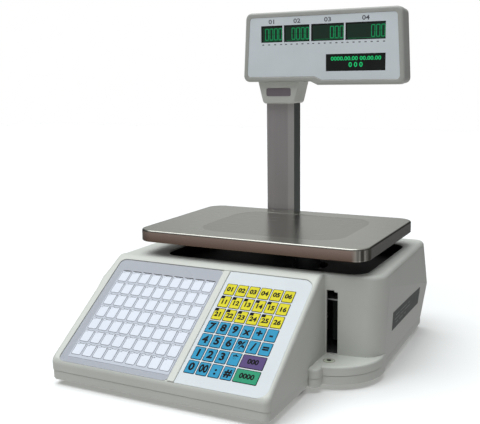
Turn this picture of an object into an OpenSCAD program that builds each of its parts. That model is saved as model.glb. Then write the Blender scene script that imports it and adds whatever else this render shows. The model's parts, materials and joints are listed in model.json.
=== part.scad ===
// Retail price scale with label printer and pole display.
// +X is the operator's right, +Y the rear, +Z up. The feet stand on z = 0.

/* [Housing] */
// Width of the housing across the creases of its side walls
body_w = 400; // [370:5:490]
// Depth from the front lip to the back of the column sleeve
body_d = 454; // [430:2:560]
// Width of the printer bay on the right
bay_w = 76.5; // [72:0.5:100]
// Height of the housing floor above the table
foot_h = 7; // [5:0.5:12]
// Height of the lower housing
tray_h = 13; // [11:0.5:20]
// Wall of the moulded housings
wall = 2.5; // [2:0.1:3.5]
// Amount by which the foot of each side wall closes in towards the rear
taper = 6; // [0:1:10]
// Amount by which the crease of each side wall closes in towards the rear
crease_taper = 2.5; // [0:0.5:6]
// Radius of the printer bay's front corner
bay_r = 28; // [20:1:34]
// Distance from the brow of the console back to the bay's front wall
bay_setback = 18.3; // [12:0.5:30]

/* [Console] */
// Length of the sloping keyboard face
slope_len = 195; // [175:1:240]
// Slope of the keyboard face, degrees
slope_deg = 34; // [28:1:40]
// Height of the front lip
lip_z = 34.5; // [30:0.5:45]
// Share of the console's width taken by the preset keys
preset_share = 0.56; // [0.45:0.01:0.6]
// Width of the raised strip between the two keypads
strip_w = 10; // [5:0.5:12]

/* [Platter] */
// Width of the platter
platter_w = 350; // [290:5:420]
// Depth of the platter
platter_d = 240; // [200:5:300]
// Depth of the platter's skirt
skirt_h = 17; // [12:1:24]
// Gap between the deck and the platter's skirt
platter_gap = 21; // [14:1:30]
// Sheet thickness of the platter
platter_t = 1.2; // [0.8:0.1:2]

/* [Display] */
// Width of the column
column_w = 50; // [40:1:60]
// Depth of the column
column_d = 25; // [22:1:34]
// Height of the column above the deck
column_rise = 212; // [170:2:280]
// Width of the display head along its upper edge
head_w = 258; // [240:2:330]
// Height of the display head
head_h = 109; // [95:1:135]
// Depth of the display head
head_d = 41; // [36:1:60]
// Height of the neck under the head
neck_h = 35; // [28:1:45]

/* [Printer] */
// Width of the label web
label_w = 60; // [40:1:66]
// Outer radius of the label roll
roll_r = 34; // [24:1:36]
// Radius of the label core's bore
core_r = 12.7; // [10:0.1:20]
// Radius of the platen roller
platen_r = 7; // [5:0.5:8]
// Gear module
gear_m = 1; // [0.8:0.1:1]
// Teeth of the platen gear
platen_teeth = 28; // [24:1:32]
// Teeth of the idler gear
idler_teeth = 30; // [26:1:32]
// Teeth of the motor pinion
pinion_teeth = 12; // [12:1:16]

/* [Hidden] */
$fn = 64;
eps = 0.01;

// Clearances
run_gap = 0.05;   // shaft turning in a bore, on the radius
slip_gap = 0.3;   // moving piece beside a fixed one
seam_gap = 0.4;   // door against its opening

// Overall places
half_w = body_w / 2;
front_y = -body_d / 2;
sleeve_out = 13;
rear_y = body_d / 2 - sleeve_out;
seam_z = foot_h + tray_h;
brow_y = front_y + slope_len * cos(slope_deg);
brow_z = lip_z + slope_len * sin(slope_deg);
brow_drop = 1.5;
brow_len = 12;
deck_z = brow_z - brow_drop;
deck_in = 6;      // deck edge inside the crease
base_in = 5;      // lower edge inside the crease
corner_r = 15;
bay_x = half_w - bay_w;
bay_y = brow_y + bay_setback;
floor_z = foot_h + wall;
slope_wall = 4;
crease_front_z = deck_z - 11;
crease_fall = 0.2186;
arc_steps = 6;

// ---- Shared shapes ----
function unit(v) = v / norm(v);

// Arc that rounds the corner p1 between p0 and p2
function fillet(p0, p1, p2, r) =
    let (a = unit(p0 - p1), b = unit(p2 - p1), h = acos(a * b) / 2,
         c = p1 + unit(a + b) * r / sin(h), s = p1 + a * r / tan(h) - c,
         e = p1 + b * r / tan(h) - c, a0 = atan2(s.y, s.x),
         turn = ((atan2(e.y, e.x) - a0 + 540) % 360) - 180)
    [for (k = [0:arc_steps]) c + r * [cos(a0 + turn * k / arc_steps), sin(a0 + turn * k / arc_steps)]];

// Closed outline with one radius for each corner
function rounded(pts, radii) =
    [for (i = [0:len(pts) - 1])
        each fillet(pts[(i + len(pts) - 1) % len(pts)], pts[i], pts[(i + 1) % len(pts)], radii[i])];

function box_points(x0, y0, x1, y1) = [[x0, y0], [x1, y0], [x1, y1], [x0, y1]];
function same(value, count) = [for (i = [1:count]) value];

module slab(x0, y0, x1, y1, z0, z1) {
    translate([x0, y0, z0])
        cube([x1 - x0, y1 - y0, z1 - z0]);
}

module round_slab(x0, y0, x1, y1, z0, z1, r) {
    translate([0, 0, z0])
        linear_extrude(z1 - z0)
            polygon(rounded(box_points(x0, y0, x1, y1), same(r, 4)));
}

module rod(x, y, z0, z1, r) {
    translate([x, y, z0])
        cylinder(h = z1 - z0, r = r);
}

module tube(x, y, z0, z1, r, bore) {
    difference() {
        rod(x, y, z0, z1, r);
        rod(x, y, z0 - 1, z1 + 1, bore);
    }
}

// Solid through rings of equal point count, lowest ring first
module loft(rings) {
    n = len(rings[0]);
    levels = len(rings) - 1;
    sides = [for (k = [0:levels - 1]) for (i = [0:n - 1])
        let (a = k * n + i, b = k * n + (i + 1) % n)
        each [[a, a + n, b + n], [a, b + n, b]]];
    polyhedron(
        points = [for (ring = rings) each ring],
        faces = concat([[for (i = [0:n - 1]) i]], sides,
                       [[for (i = [n - 1:-1:0]) levels * n + i]]));
}

// ---- Housing forms, drawn with an inset so that one form gives wall and hollow ----
rear_run = rear_y - bay_y;
function lean(y, inset, closing) = inset + closing * max(0, min(1, (y - bay_y) / rear_run));
function crease_z(y) = max(seam_z + 30, min(crease_front_z, crease_front_z - crease_fall * (y - bay_y)));

function main_outline(i) = rounded(
    box_points(-half_w + i, front_y + i, bay_x - i, rear_y - i), [4, 4, 10, corner_r - i]);
function bay_outline(i) = rounded(
    box_points(bay_x - 40, bay_y + i, half_w - i, rear_y - i), [1, bay_r - i, corner_r - i, 1]);

// Moves the leaning side of an outline inwards by the rear taper and the level's inset
function lean_ring(pts, side, inset, z) = [for (p = pts)
    let (s = side * p.x > bay_x - 20 ? side : 0)
    [p.x - s * lean(p.y, inset, z < 0 ? crease_taper : taper), p.y, z < 0 ? crease_z(p.y) : z]];

module block(pts, side, z0, z1, inset) {
    loft([lean_ring(pts, side, base_in, z0), lean_ring(pts, side, 0, -1),
          lean_ring(pts, side, deck_in, z1)]);
}

// Side profile of the console and deck, moved inwards by i
module profile_prism(i, z0) {
    t = i == 0 ? 0 : slope_wall;
    zf = lip_z + i * tan(slope_deg) - t / cos(slope_deg);
    top = deck_z - i;
    yt = front_y + (top - lip_z + t / cos(slope_deg)) / tan(slope_deg);
    brow = i == 0 ? [[brow_y + brow_len, deck_z], [brow_y, brow_z]] : [[yt, top]];
    translate([-body_w, 0, 0])
        rotate([90, 0, 90])
            linear_extrude(2 * body_w)
                polygon(concat([[front_y + i, z0], [rear_y - i, z0], [rear_y - i, top]], brow,
                    fillet([brow_y, brow_z], [front_y + i, zf], [front_y + i, z0], 6)));
}

ledge_z = seam_z + 12.5;
ledge_r = 70;
ledge_x = half_w - 3.2 - ledge_r;
ledge_y = bay_y + 22;
boss_r = 9;
boss_x = bay_x + 5;
boss_y = ledge_y - ledge_r - 7;
module ledge(i, z0, z1) {
    intersection() {
        rod(ledge_x, ledge_y, z0, z1, ledge_r - i);
        slab(bay_x - 12, bay_y - 80, half_w, ledge_y + 8, z0, z1);
    }
    slab(bay_x - 12, boss_y, boss_x, boss_y + 22, z0, z1);
    rod(boss_x, boss_y, z0, z1, boss_r - i);
}

module upper_form(i, z0) {
    intersection() {
        block(main_outline(i), -1, z0, brow_z - i, i);
        profile_prism(i, z0 - 1);
    }
    block(bay_outline(i), 1, z0, deck_z - i, i);
    ledge(i, z0, ledge_z - i);
}

module tray_plan(i) {
    polygon([for (p = lean_ring(main_outline(i), -1, base_in, 0)) [p.x, p.y]]);
    polygon([for (p = lean_ring(bay_outline(i), 1, base_in, 0)) [p.x, p.y]]);
    ledge_plan(i);
}

module ledge_plan(i) {
    intersection() {
        translate([ledge_x, ledge_y])
            circle(ledge_r - i);
        translate([bay_x - 12, bay_y - 80])
            square([bay_w, ledge_y - bay_y + 88]);
    }
    translate([boss_x, boss_y])
        circle(boss_r - i);
}

module tray_prism(i, z0, z1) {
    translate([0, 0, z0])
        linear_extrude(z1 - z0)
            tray_plan(i);
}

// ---- Platter and weighing gear ----
platter_x = half_w - 194.5;
platter_y = rear_y - 152;
platter_z = deck_z + platter_gap + skirt_h;
platter_r = 25;
well_x0 = platter_x - platter_w / 2 + 36;
well_x1 = platter_x + platter_w / 2 - 10;
well_y0 = bay_y + 11;
well_y1 = rear_y - 45;
well_depth = 20;
well_z = deck_z - well_depth;
hub_r = 18;
hub_hole_r = 26;
cell_len = 130;
cell_w = 30;
cell_h = 22;
cell_z = well_z - wall - cell_h - 3;
cell_x0 = platter_x - cell_len / 2;
cell_screw_in = 10;
cell_screw_step = 15;
m6_r = 3;
chassis_t = 2;
chassis_z = floor_z + 3;
arm_x = platter_w / 2 - 48;
arm_y = platter_d / 2 - 38;
arm_w = 22;
pad_r = 9;
pad_t = 5;
arm_z1 = platter_z - platter_t - pad_t;
arm_t = 8;
stop_gap = 0.6;

module platter() {
    color("silver")
    difference() {
        round_slab(platter_x - platter_w / 2, platter_y - platter_d / 2, platter_x + platter_w / 2,
            platter_y + platter_d / 2, platter_z - skirt_h, platter_z, platter_r);
        round_slab(platter_x - platter_w / 2 + platter_t, platter_y - platter_d / 2 + platter_t,
            platter_x + platter_w / 2 - platter_t, platter_y + platter_d / 2 - platter_t,
            platter_z - skirt_h - 1, platter_z - platter_t, platter_r - platter_t);
    }
}

module at_arms() {
    for (sx = [-1, 1], sy = [-1, 1])
        translate([platter_x + sx * arm_x, platter_y + sy * arm_y, 0])
            children();
}

module spider() {
    hub_x = cell_x0 + cell_len - cell_screw_in - cell_screw_step / 2;
    color("dimgray")
    difference() {
        union() {
            slab(platter_x - arm_x, platter_y - arm_w / 2, platter_x + arm_x, platter_y + arm_w / 2,
                arm_z1 - arm_t, arm_z1 - 1);
            for (sx = [-1, 1])
                slab(platter_x + sx * arm_x - arm_w / 2, platter_y - arm_y - arm_w / 2,
                    platter_x + sx * arm_x + arm_w / 2, platter_y + arm_y + arm_w / 2,
                    arm_z1 - arm_t - 1, arm_z1);
            rod(hub_x, platter_y, cell_z + cell_h, arm_z1 - 2, hub_r);
        }
        for (s = [-1, 1])
            rod(hub_x + s * cell_screw_step / 2, platter_y, cell_z, arm_z1 - 30, m6_r);
        for (s = [-1, 1])
            rod(hub_x + s * cell_screw_step / 2, platter_y, cell_z + cell_h + 12, arm_z1 + 1, 5.5);
    }
}

module spider_pads() {
    color("black")
        at_arms()
            rod(0, 0, arm_z1, arm_z1 + pad_t, pad_r);
}

module load_cell() {
    mid_x = cell_x0 + cell_len / 2;
    color("lightgray")
    difference() {
        slab(cell_x0, platter_y - cell_w / 2, cell_x0 + cell_len, platter_y + cell_w / 2,
            cell_z, cell_z + cell_h);
        for (s = [-1, 1])
            translate([mid_x + s * 16, platter_y, cell_z + cell_h / 2])
                rotate([90, 0, 0])
                    cylinder(h = cell_w + 2, r = 9, center = true);
        slab(mid_x - 16, platter_y - cell_w, mid_x + 16, platter_y + cell_w,
            cell_z + cell_h / 2 - 4, cell_z + cell_h / 2 + 4);
        for (end = [0, 1], k = [0, 1])
            rod(cell_x0 + cell_screw_in + k * cell_screw_step
                + end * (cell_len - 2 * cell_screw_in - cell_screw_step),
                platter_y, cell_z - 1, cell_z + cell_h + 1, m6_r);
    }
}

module cell_bracket() {
    x1 = cell_x0 + cell_len;
    z0 = chassis_z + chassis_t;
    color("gray")
    difference() {
        union() {
            slab(cell_x0 - 12, platter_y - 32, x1 + 12, platter_y + 32, z0, z0 + 8);
            slab(cell_x0, platter_y - cell_w / 2, cell_x0 + 36, platter_y + cell_w / 2, z0, cell_z);
            slab(cell_x0 + 36, platter_y - 4, cell_x0 + 62, platter_y + 4, z0, cell_z - 14);
            slab(x1 - 26, platter_y - 10, x1 - 6, platter_y + 10, z0, cell_z - 14);
        }
        for (k = [0, 1])
            rod(cell_x0 + cell_screw_in + k * cell_screw_step, platter_y, cell_z - 20, cell_z + 1, m6_r);
        rod(x1 - 16, platter_y, cell_z - 34, cell_z, m6_r);
        for (sx = [-1, 1], sy = [-1, 1])
            rod(platter_x + sx * (cell_len / 2 + 4), platter_y + sy * 25, z0 - 1, z0 + 9, 2.6);
    }
}

// Two screws at each end of the cell, and the overload stop's screw under its free end
module cell_screws() {
    stop_x = cell_x0 + cell_len - 16;
    color("darkgray") {
        rod(stop_x, platter_y, cell_z - 30, cell_z - 4, m6_r);
        translate([stop_x, platter_y, cell_z - 4])
            cylinder(h = 4 - stop_gap, r = 5);
        for (k = [0, 1])
            translate([cell_x0 + cell_screw_in + k * cell_screw_step, platter_y, 0]) {
                rod(0, 0, cell_z - 16, cell_z + cell_h, m6_r);
                rod(0, 0, cell_z + cell_h, cell_z + cell_h + 2.6, 5);
            }
        for (k = [0, 1])
            translate([cell_x0 + cell_len - cell_screw_in - k * cell_screw_step, platter_y, 0]) {
                rod(0, 0, cell_z + 4, cell_z + cell_h + 12, m6_r);
                rod(0, 0, cell_z + cell_h + 12, cell_z + cell_h + 18, 5);
            }
    }
}

module chassis_plate() {
    color("lightsteelblue")
    difference() {
        slab(platter_x - 140, platter_y - 70, bay_x - 46, platter_y + 78, chassis_z, chassis_z + chassis_t);
        for (sx = [-1, 1], sy = [-1, 1])
            rod(platter_x + sx * (cell_len / 2 + 4), platter_y + sy * 25, chassis_z - 1, chassis_z + 3, 2.6);
        at_chassis_posts()
            rod(0, 0, chassis_z - 1, chassis_z + 3, 2);
    }
}

module at_chassis_posts() {
    for (x = [platter_x - 132, bay_x - 54], y = [platter_y - 62, platter_y + 70])
        translate([x, y, 0])
            children();
}

// ---- Lower housing and feet ----
foot_y = front_y + 115;
foot_rear_y = rear_y - 38;
foot_left_x = -half_w + 35;
foot_right_x = bay_x - 20;
foot_rear_x = half_w - 36;
foot_places = [[foot_left_x, foot_y], [foot_right_x, foot_y],
               [foot_left_x, foot_rear_y], [foot_rear_x, foot_rear_y]];
stem_r = 4;
foot_r = 13;
foot_boss_r = 9;
foot_boss_z = seam_z + 10;
screw_r = 1.5;
screw_places = [[-half_w + 18, front_y + 14], [bay_x - 14, front_y + 14],
                [-half_w + 16, brow_y + 10], [-half_w + 18, rear_y - 14],
                [half_w - 36, rear_y - 12], [bay_x - 30, rear_y - 12]];

module lower_housing() {
    color("gainsboro")
    difference() {
        union() {
            difference() {
                tray_prism(0, foot_h, seam_z);
                tray_prism(wall, floor_z, seam_z + 1);
            }
            for (p = foot_places)
                rod(p.x, p.y, foot_h, foot_boss_z, foot_boss_r);
            for (p = screw_places)
                rod(p.x, p.y, foot_h, seam_z, 5);
            at_chassis_posts()
                rod(0, 0, foot_h, chassis_z, 5);
            for (x = [board_x0 + 8, board_x1 - 8], y = [board_y0 + 8, board_y1 - 8])
                rod(x, y, foot_h, board_z, 4);
            at_frame_posts()
                rod(0, 0, foot_h, frame_z, 4);
        }
        for (p = foot_places)
            rod(p.x, p.y, foot_h - 1, foot_boss_z + 1, stem_r + run_gap);
        for (p = screw_places) {
            rod(p.x, p.y, foot_h - 1, seam_z + 1, screw_r + 0.2);
            rod(p.x, p.y, foot_h - 1, foot_h + 3, 3.2);
        }
    }
}

module foot(k) {
    p = foot_places[k];
    color([0.08, 0.08, 0.08]) {
        rod(p.x, p.y, 0, foot_h - slip_gap, foot_r);
        rod(p.x, p.y, foot_h - slip_gap, foot_boss_z - 2, stem_r);
    }
}

module housing_screws() {
    color("darkgray")
    for (p = screw_places) {
        rod(p.x, p.y, foot_h + 1, foot_h + 3, 3);
        rod(p.x, p.y, foot_h + 3, seam_z + 10, screw_r);
    }
}

// ---- Upper housing ----
sleeve_wall = 5;
column_x = platter_x - 52;
column_y = platter_y + platter_d / 2 + 6 + column_d / 2;
column_foot_z = seam_z + 6;
sleeve_top = deck_z + 2;
slot_x0 = bay_x + 1.5;
slot_w = 15;
slot_z0 = ledge_z + 1;
slot_h = 87;
key_in_x = 12;
key_top_u = 10;
key_end_u = slope_len - 3;
pocket_d = 1.6;
pocket_x0 = -half_w + key_in_x + 5.5;
pocket_x1 = bay_x - 6;
strip_x0 = pocket_x0 + preset_share * (pocket_x1 - pocket_x0);
membrane_t = 1;
port_z = 62;
inlet_x = -half_w + 46;
inlet_w = 28;
inlet_h = 20;
switch_x = inlet_x + 35.5;
switch_w = 13;
switch_h = 19;
socket_x = switch_x + 24.5;
socket_w = 16;
socket_h = 14;
rear_plate_x0 = inlet_x - inlet_w / 2 - 4.5;
rear_plate_x1 = socket_x + socket_w / 2 + 4.5;
rear_plate_z1 = port_z + inlet_h / 2 + 8;
level_x = bay_x + 14;
level_y = ledge_y - 47;
level_r = 8.5;
door_y0 = bay_y + 34;
door_y1 = rear_y - 22;
door_z0 = seam_z;
door_top = deck_z - 6;
door_tilt = atan(taper / rear_run);
hinge_z = seam_z + 6;
hinge_in = 4.6;
knuckle_r = 3.6;
pivot_r = 2;
pivot_len = 5;
lug_t = 8;
lug_h = 11;

// Moves to the door's hinge line, with local Y along it
module at_hinge() {
    translate([half_w - base_in - taper * (door_y0 - bay_y) / rear_run - hinge_in, door_y0, hinge_z])
        rotate([0, 0, door_tilt])
            children();
}
door_len = (door_y1 - door_y0) / cos(door_tilt);

module on_slope() {
    translate([0, brow_y, brow_z])
        rotate([slope_deg, 0, 0])
            children();
}

module door_region(g) {
    translate([half_w - 24, door_y0 - g, door_z0 - (g > 0 ? 1 : 0) + (g > 0 ? 0 : seam_gap)])
        cube([40, door_y1 - door_y0 + 2 * g, door_top - door_z0 + g + (g > 0 ? 1 : -seam_gap)]);
}

module upper_housing() {
    color("whitesmoke")
    difference() {
        union() {
            difference() {
                upper_form(0, seam_z);
                upper_form(wall, seam_z - 1);
                door_region(seam_gap);
                slab(well_x0, well_y0, well_x1, well_y1, deck_z - wall - 1, deck_z + 1);
            }
            sleeve_block();
            for (p = screw_places)
                tube(p.x, p.y, seam_z, seam_z + 14, 4, screw_r);
            rod(boss_x, boss_y, ledge_z - 10, ledge_z, boss_r - 1);
            rod(level_x, level_y, ledge_z - 6, ledge_z, level_r + 2);
            at_hinge() {
                for (y = [-seam_gap - lug_t, door_len + seam_gap])
                    translate([-lug_t, y, seam_z - hinge_z])
                        cube([lug_t + knuckle_r, lug_t, lug_h]);
            }
        }
        slab(slot_x0, bay_y - 1, slot_x0 + slot_w, bay_y + wall + 1, slot_z0, slot_z0 + slot_h);
        on_slope()
            slab(pocket_x0, -key_end_u, pocket_x1, -key_top_u, -pocket_d, 20);
        slab(column_x - column_w / 2 - slip_gap, column_y - column_d / 2 - slip_gap,
            column_x + column_w / 2 + slip_gap, column_y + column_d / 2 + slip_gap,
            column_foot_z, sleeve_top + 1);
        for (s = [-1, 1])
            translate([column_x, body_d / 2 + 1, column_screw_z + s * 30])
                rotate([90, 0, 0]) {
                    cylinder(h = 20, r = 2.6);
                    cylinder(h = 5.5, r = 5);
                }
        slab(rear_plate_x0 - slip_gap, rear_y - wall - 1, rear_plate_x1 + slip_gap, rear_y + 1,
            seam_z - 1, rear_plate_z1 + slip_gap);
        rod(boss_x, boss_y, ledge_z - 8, ledge_z + 1, 2);
        rod(level_x, level_y, ledge_z - 4, ledge_z + 1, level_r);
        at_hinge()
            translate([0, -seam_gap - lug_t - 1, 0])
                rotate([-90, 0, 0])
                    cylinder(h = door_len + 2 * seam_gap + 2 * lug_t + 2, r = pivot_r + run_gap);
    }
}

// Tub under the deck's opening, which the spider's hub passes through
module platter_well() {
    color("whitesmoke")
    difference() {
        slab(well_x0 - wall, well_y0 - wall, well_x1 + wall, well_y1 + wall, well_z - wall, deck_z - wall);
        difference() {
            slab(well_x0, well_y0, well_x1, well_y1, well_z, deck_z);
            rod(spider_hub_x, platter_y, well_z - 1, well_z + 5, hub_hole_r + wall);
        }
        rod(spider_hub_x, platter_y, well_z - 5, well_z + 10, hub_hole_r);
    }
}

// Plate in the rear wall that carries the inlet, the switch and the network socket
module rear_plate() {
    color("gainsboro")
    difference() {
        slab(rear_plate_x0, rear_y - wall, rear_plate_x1, rear_y, seam_z + slip_gap, rear_plate_z1);
        for (port = [[inlet_x, inlet_w, inlet_h], [switch_x, switch_w, switch_h], [socket_x, socket_w, socket_h]])
            slab(port[0] - port[1] / 2, rear_y - 6, port[0] + port[1] / 2, rear_y + 1,
                port_z - port[2] / 2, port_z + port[2] / 2);
    }
}

spider_hub_x = cell_x0 + cell_len - cell_screw_in - cell_screw_step / 2;
column_screw_z = (column_foot_z + deck_z) / 2;

module sleeve_block() {
    difference() {
        round_slab(column_x - column_w / 2 - sleeve_wall, column_y - column_d / 2 - sleeve_wall,
            column_x + column_w / 2 + sleeve_wall, body_d / 2, seam_z, sleeve_top, 3);
        slab(column_x - column_w, column_y - column_d, column_x + column_w,
            column_y - column_d / 2 - sleeve_wall + eps, deck_z, sleeve_top + 1);
    }
}

// ---- Keypads ----
module keypad_membrane() {
    color("darkslategray")
    on_slope()
        slab(pocket_x0 + slip_gap, -key_end_u + slip_gap, pocket_x1 - slip_gap,
            -key_top_u - slip_gap, -pocket_d, -pocket_d + membrane_t);
}

layer_z = -pocket_d + membrane_t;
card_t = 0.3;
film_t = 0.5;
overlay_t = 0.9;
strip_t = 1.8;

module preset_card() {
    color("white")
    on_slope()
        slab(pocket_x0 + 8, -key_end_u + 6, strip_x0 - 3, -key_top_u - 18, layer_z, layer_z + card_t);
}

module preset_film() {
    color("lightcyan")
    on_slope()
    difference() {
        slab(pocket_x0 + slip_gap, -key_end_u + slip_gap, strip_x0, -key_top_u - slip_gap,
            layer_z, layer_z + card_t + film_t);
        slab(pocket_x0 + 8, -key_end_u + 6, strip_x0 - 3, -key_top_u - 18, layer_z - 1, layer_z + card_t);
    }
}

module function_overlay() {
    color("ivory")
    on_slope()
        round_slab(strip_x0 + strip_w, -key_end_u + slip_gap, pocket_x1 - slip_gap,
            -key_top_u - slip_gap, layer_z, layer_z + overlay_t, 8);
}

module divider_strip() {
    color("whitesmoke")
    on_slope()
        slab(strip_x0, -key_end_u + slip_gap, strip_x0 + strip_w, -key_top_u - slip_gap,
            layer_z, layer_z + strip_t);
}

// ---- Level and seal ----
module level_ring() {
    color("burlywood")
        tube(level_x, level_y, ledge_z - 4, ledge_z + 0.8, level_r - 0.1, level_r - 2);
}

module level_vial() {
    color("palegreen") {
        rod(level_x, level_y, ledge_z - 4, ledge_z - 0.5, level_r - 2.1);
        translate([level_x, level_y, ledge_z - 0.5])
            cylinder(h = 1, r1 = level_r - 2.1, r2 = level_r - 3);
    }
}

module seal_screw() {
    color("darkgray") {
        rod(boss_x, boss_y, ledge_z - 8, ledge_z - 3, 1.9);
        rod(boss_x, boss_y, ledge_z - 3, ledge_z - 1, 1.6);
    }
}

// ---- Electronics ----
board_x0 = foot_left_x + foot_boss_r + 6;
board_x1 = bay_x - 60;
board_y0 = front_y + 50;
board_y1 = brow_y - 22;
board_z = floor_z + 6;
board_t = 1.6;

module main_board() {
    color("darkgreen") {
        slab(board_x0, board_y0, board_x1, board_y1, board_z, board_z + board_t);
        for (k = [0:3])
            slab(board_x0 + 20 + 42 * k, board_y0 + 30, board_x0 + 38 + 42 * k, board_y0 + 48,
                board_z + board_t, board_z + board_t + 2);
        slab(board_x0 + 20, board_y1 - 14, board_x1 - 20, board_y1 - 4,
            board_z + board_t, board_z + board_t + 9);
    }
}

module power_supply() {
    color("silver")
        slab(-half_w + 16, foot_rear_y - 112, -half_w + 52, foot_rear_y - 14, floor_z, floor_z + 38);
}

module port_plate(x, w, h, open_w, open_h, depth) {
    difference() {
        union() {
            slab(x - w / 2 - 3, rear_y, x + w / 2 + 3, rear_y + 1.5, port_z - h / 2 - 3, port_z + h / 2 + 3);
            slab(x - w / 2 + 0.2, rear_y - depth, x + w / 2 - 0.2, rear_y,
                port_z - h / 2 + 0.2, port_z + h / 2 - 0.2);
        }
        slab(x - open_w / 2, rear_y - depth + 3, x + open_w / 2, rear_y + 3,
            port_z - open_h / 2, port_z + open_h / 2);
    }
}

module power_inlet() {
    color([0.1, 0.1, 0.1])
        port_plate(inlet_x, inlet_w, inlet_h, 24, 16, 20);
    color("gold")
    for (k = [-1, 0, 1])
        slab(inlet_x + 7 * k - 1, rear_y - 18, inlet_x + 7 * k + 1, rear_y - 4,
            port_z + (k == 0 ? 1 : -3), port_z + (k == 0 ? 5 : 1));
}

module network_socket() {
    color("slategray")
        port_plate(socket_x, socket_w, socket_h, 12, 9, 16);
}

rocker_w = 9;
rocker_h = 15;
rocker_in = 3;
rocker_r = 8;
module switch_body() {
    color([0.1, 0.1, 0.1])
    difference() {
        port_plate(switch_x, switch_w, switch_h, rocker_w + 2 * slip_gap, rocker_h + 1.2, 16);
        translate([switch_x - switch_w, rear_y - rocker_in, port_z])
            rotate([0, 90, 0])
                cylinder(h = 2 * switch_w, r = 1.2 + run_gap);
    }
}

module switch_rocker() {
    color("black")
    translate([switch_x, rear_y - rocker_in, port_z])
        rotate([0, 90, 0]) {
            intersection() {
                cylinder(h = rocker_w, r = rocker_r - 0.6, center = true);
                translate([-rocker_h / 2 + 0.8, -5, -rocker_w / 2])
                    cube([rocker_h - 1.6, 12, rocker_w]);
            }
            cylinder(h = switch_w - 1, r = 1.2, center = true);
        }
}

// ---- Column, neck and head ----
neck_roof = 4;
neck_z0 = deck_z + column_rise;
head_z0 = neck_z0 + neck_h;
column_top = head_z0 - neck_roof;
head_z1 = head_z0 + head_h;
head_x0 = column_x - 54;
head_y0 = column_y - column_d / 2 - 16;
head_side = 6;
head_step = 5.5;
neck_top_w = 73;
neck_foot_w = 55;
neck_y0 = column_y - column_d / 2 - 8;
neck_y1 = column_y + column_d / 2 + 8;
column_wall = 2;
head_lip = 2;
neck_screw_r = 1.5;

module column() {
    color("gray")
    difference() {
        slab(column_x - column_w / 2, column_y - column_d / 2, column_x + column_w / 2,
            column_y + column_d / 2, column_foot_z, column_top);
        slab(column_x - column_w / 2 + column_wall, column_y - column_d / 2 + column_wall,
            column_x + column_w / 2 - column_wall, column_y + column_d / 2 - column_wall,
            column_foot_z - 1, column_top + 1);
        for (s = [-1, 1])
            translate([column_x, column_y, column_screw_z + s * 30])
                rotate([-90, 0, 0])
                    cylinder(h = column_d, r = 2.5);
    }
}

module column_screws() {
    color("darkgray")
    for (s = [-1, 1])
        translate([column_x, body_d / 2 - 4.5, column_screw_z + s * 30])
            rotate([90, 0, 0]) {
                cylinder(h = body_d / 2 - 4.5 - column_y - column_d / 2 + 5, r = 2.4);
                translate([0, 0, -2.5])
                    cylinder(h = 2.5, r = 4.5);
            }
}

neck_screw_y = column_y;
function neck_outline(i) = rounded([[column_x - neck_foot_w / 2 + i, neck_z0 + i],
    [column_x + neck_foot_w / 2 - i, neck_z0 + i], [column_x + neck_top_w / 2 - i, head_z0],
    [column_x - neck_top_w / 2 + i, head_z0]], [6 - i, 6 - i, 0.5, 0.5]);

module neck_form(i, y0, y1) {
    translate([0, y1, 0])
        rotate([90, 0, 0])
            linear_extrude(y1 - y0)
                polygon(neck_outline(i));
}

module neck_hollow(y0, y1) {
    intersection() {
        neck_form(wall, y0, y1);
        slab(column_x - neck_top_w, y0 - 1, column_x + neck_top_w, y1 + 1, neck_z0, column_top);
    }
}

module column_cut(z0, z1) {
    slab(column_x - column_w / 2 - 0.2, column_y - column_d / 2 - 0.2,
        column_x + column_w / 2 + 0.2, column_y + column_d / 2 + 0.2, z0, z1);
}

module neck_front_shell() {
    color("whitesmoke")
    difference() {
        neck_form(0, neck_y0, column_y);
        neck_hollow(neck_y0 + wall, column_y + 1);
        rod(column_x, head_split, column_top - 1, head_z0 + 1, 6);
        column_cut(neck_z0 - 1, column_top);
        neck_plate_slab(0);
        neck_bores(0.1);
    }
}

module neck_rear_shell() {
    color("whitesmoke")
    difference() {
        neck_form(0, column_y, neck_y1);
        neck_hollow(column_y - 1, neck_y1 - wall);
        rod(column_x, head_split, column_top - 1, head_z0 + 1, 6);
        column_cut(neck_z0 - 1, column_top);
        neck_bores(0.1);
    }
}

// Screws that hold the head on the neck's roof
module neck_bores(g) {
    for (s = [-1, 1])
        rod(column_x + s * 12, neck_screw_y, head_z0 - neck_roof - 1, head_z0 + wall, neck_screw_r + g);
}

module neck_plate_slab(g) {
    slab(column_x - 21.5 + g, neck_y0 - 1, column_x + 21.5 - g, neck_y0 + 0.8,
        neck_z0 + 12 + g, neck_z0 + 25 - g);
}

module neck_plate() {
    color("rosybrown")
    intersection() {
        neck_plate_slab(0.1);
        neck_form(0, neck_y0 + 0.2, column_y);
    }
}

// Outline of the head seen from the front, widening downwards, its left part stepped up
function head_outline(i) = rounded([
    [head_x0 - head_side + i, head_z0 + i],
    [head_x0 + 111 + i, head_z0 + i],
    [head_x0 + 123 + i, head_z0 - head_step + i],
    [head_x0 + head_w + head_side - i, head_z0 - head_step + i],
    [head_x0 + head_w - i, head_z1 - i],
    [head_x0 + i, head_z1 - i]], [10 - i, 6, 6, 10 - i, 10 - i, 10 - i]);

module head_form(i, y0, y1) {
    translate([0, y1, 0])
        rotate([90, 0, 0])
            linear_extrude(y1 - y0)
                polygon(head_outline(i));
}

head_y1 = head_y0 + head_d;
head_split = head_y0 + 18;
panel_in = 8;
panel_t = 1.2;
window_z0 = head_z0 + 62;
window_h = 26;
window_spans = [[27.3, 64.7], [67.1, 110.7], [113.3, 167], [169.4, 232.5]];
low_window = [138, 233];
low_z0 = head_z0 + 15.5;
low_h = 26;

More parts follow.
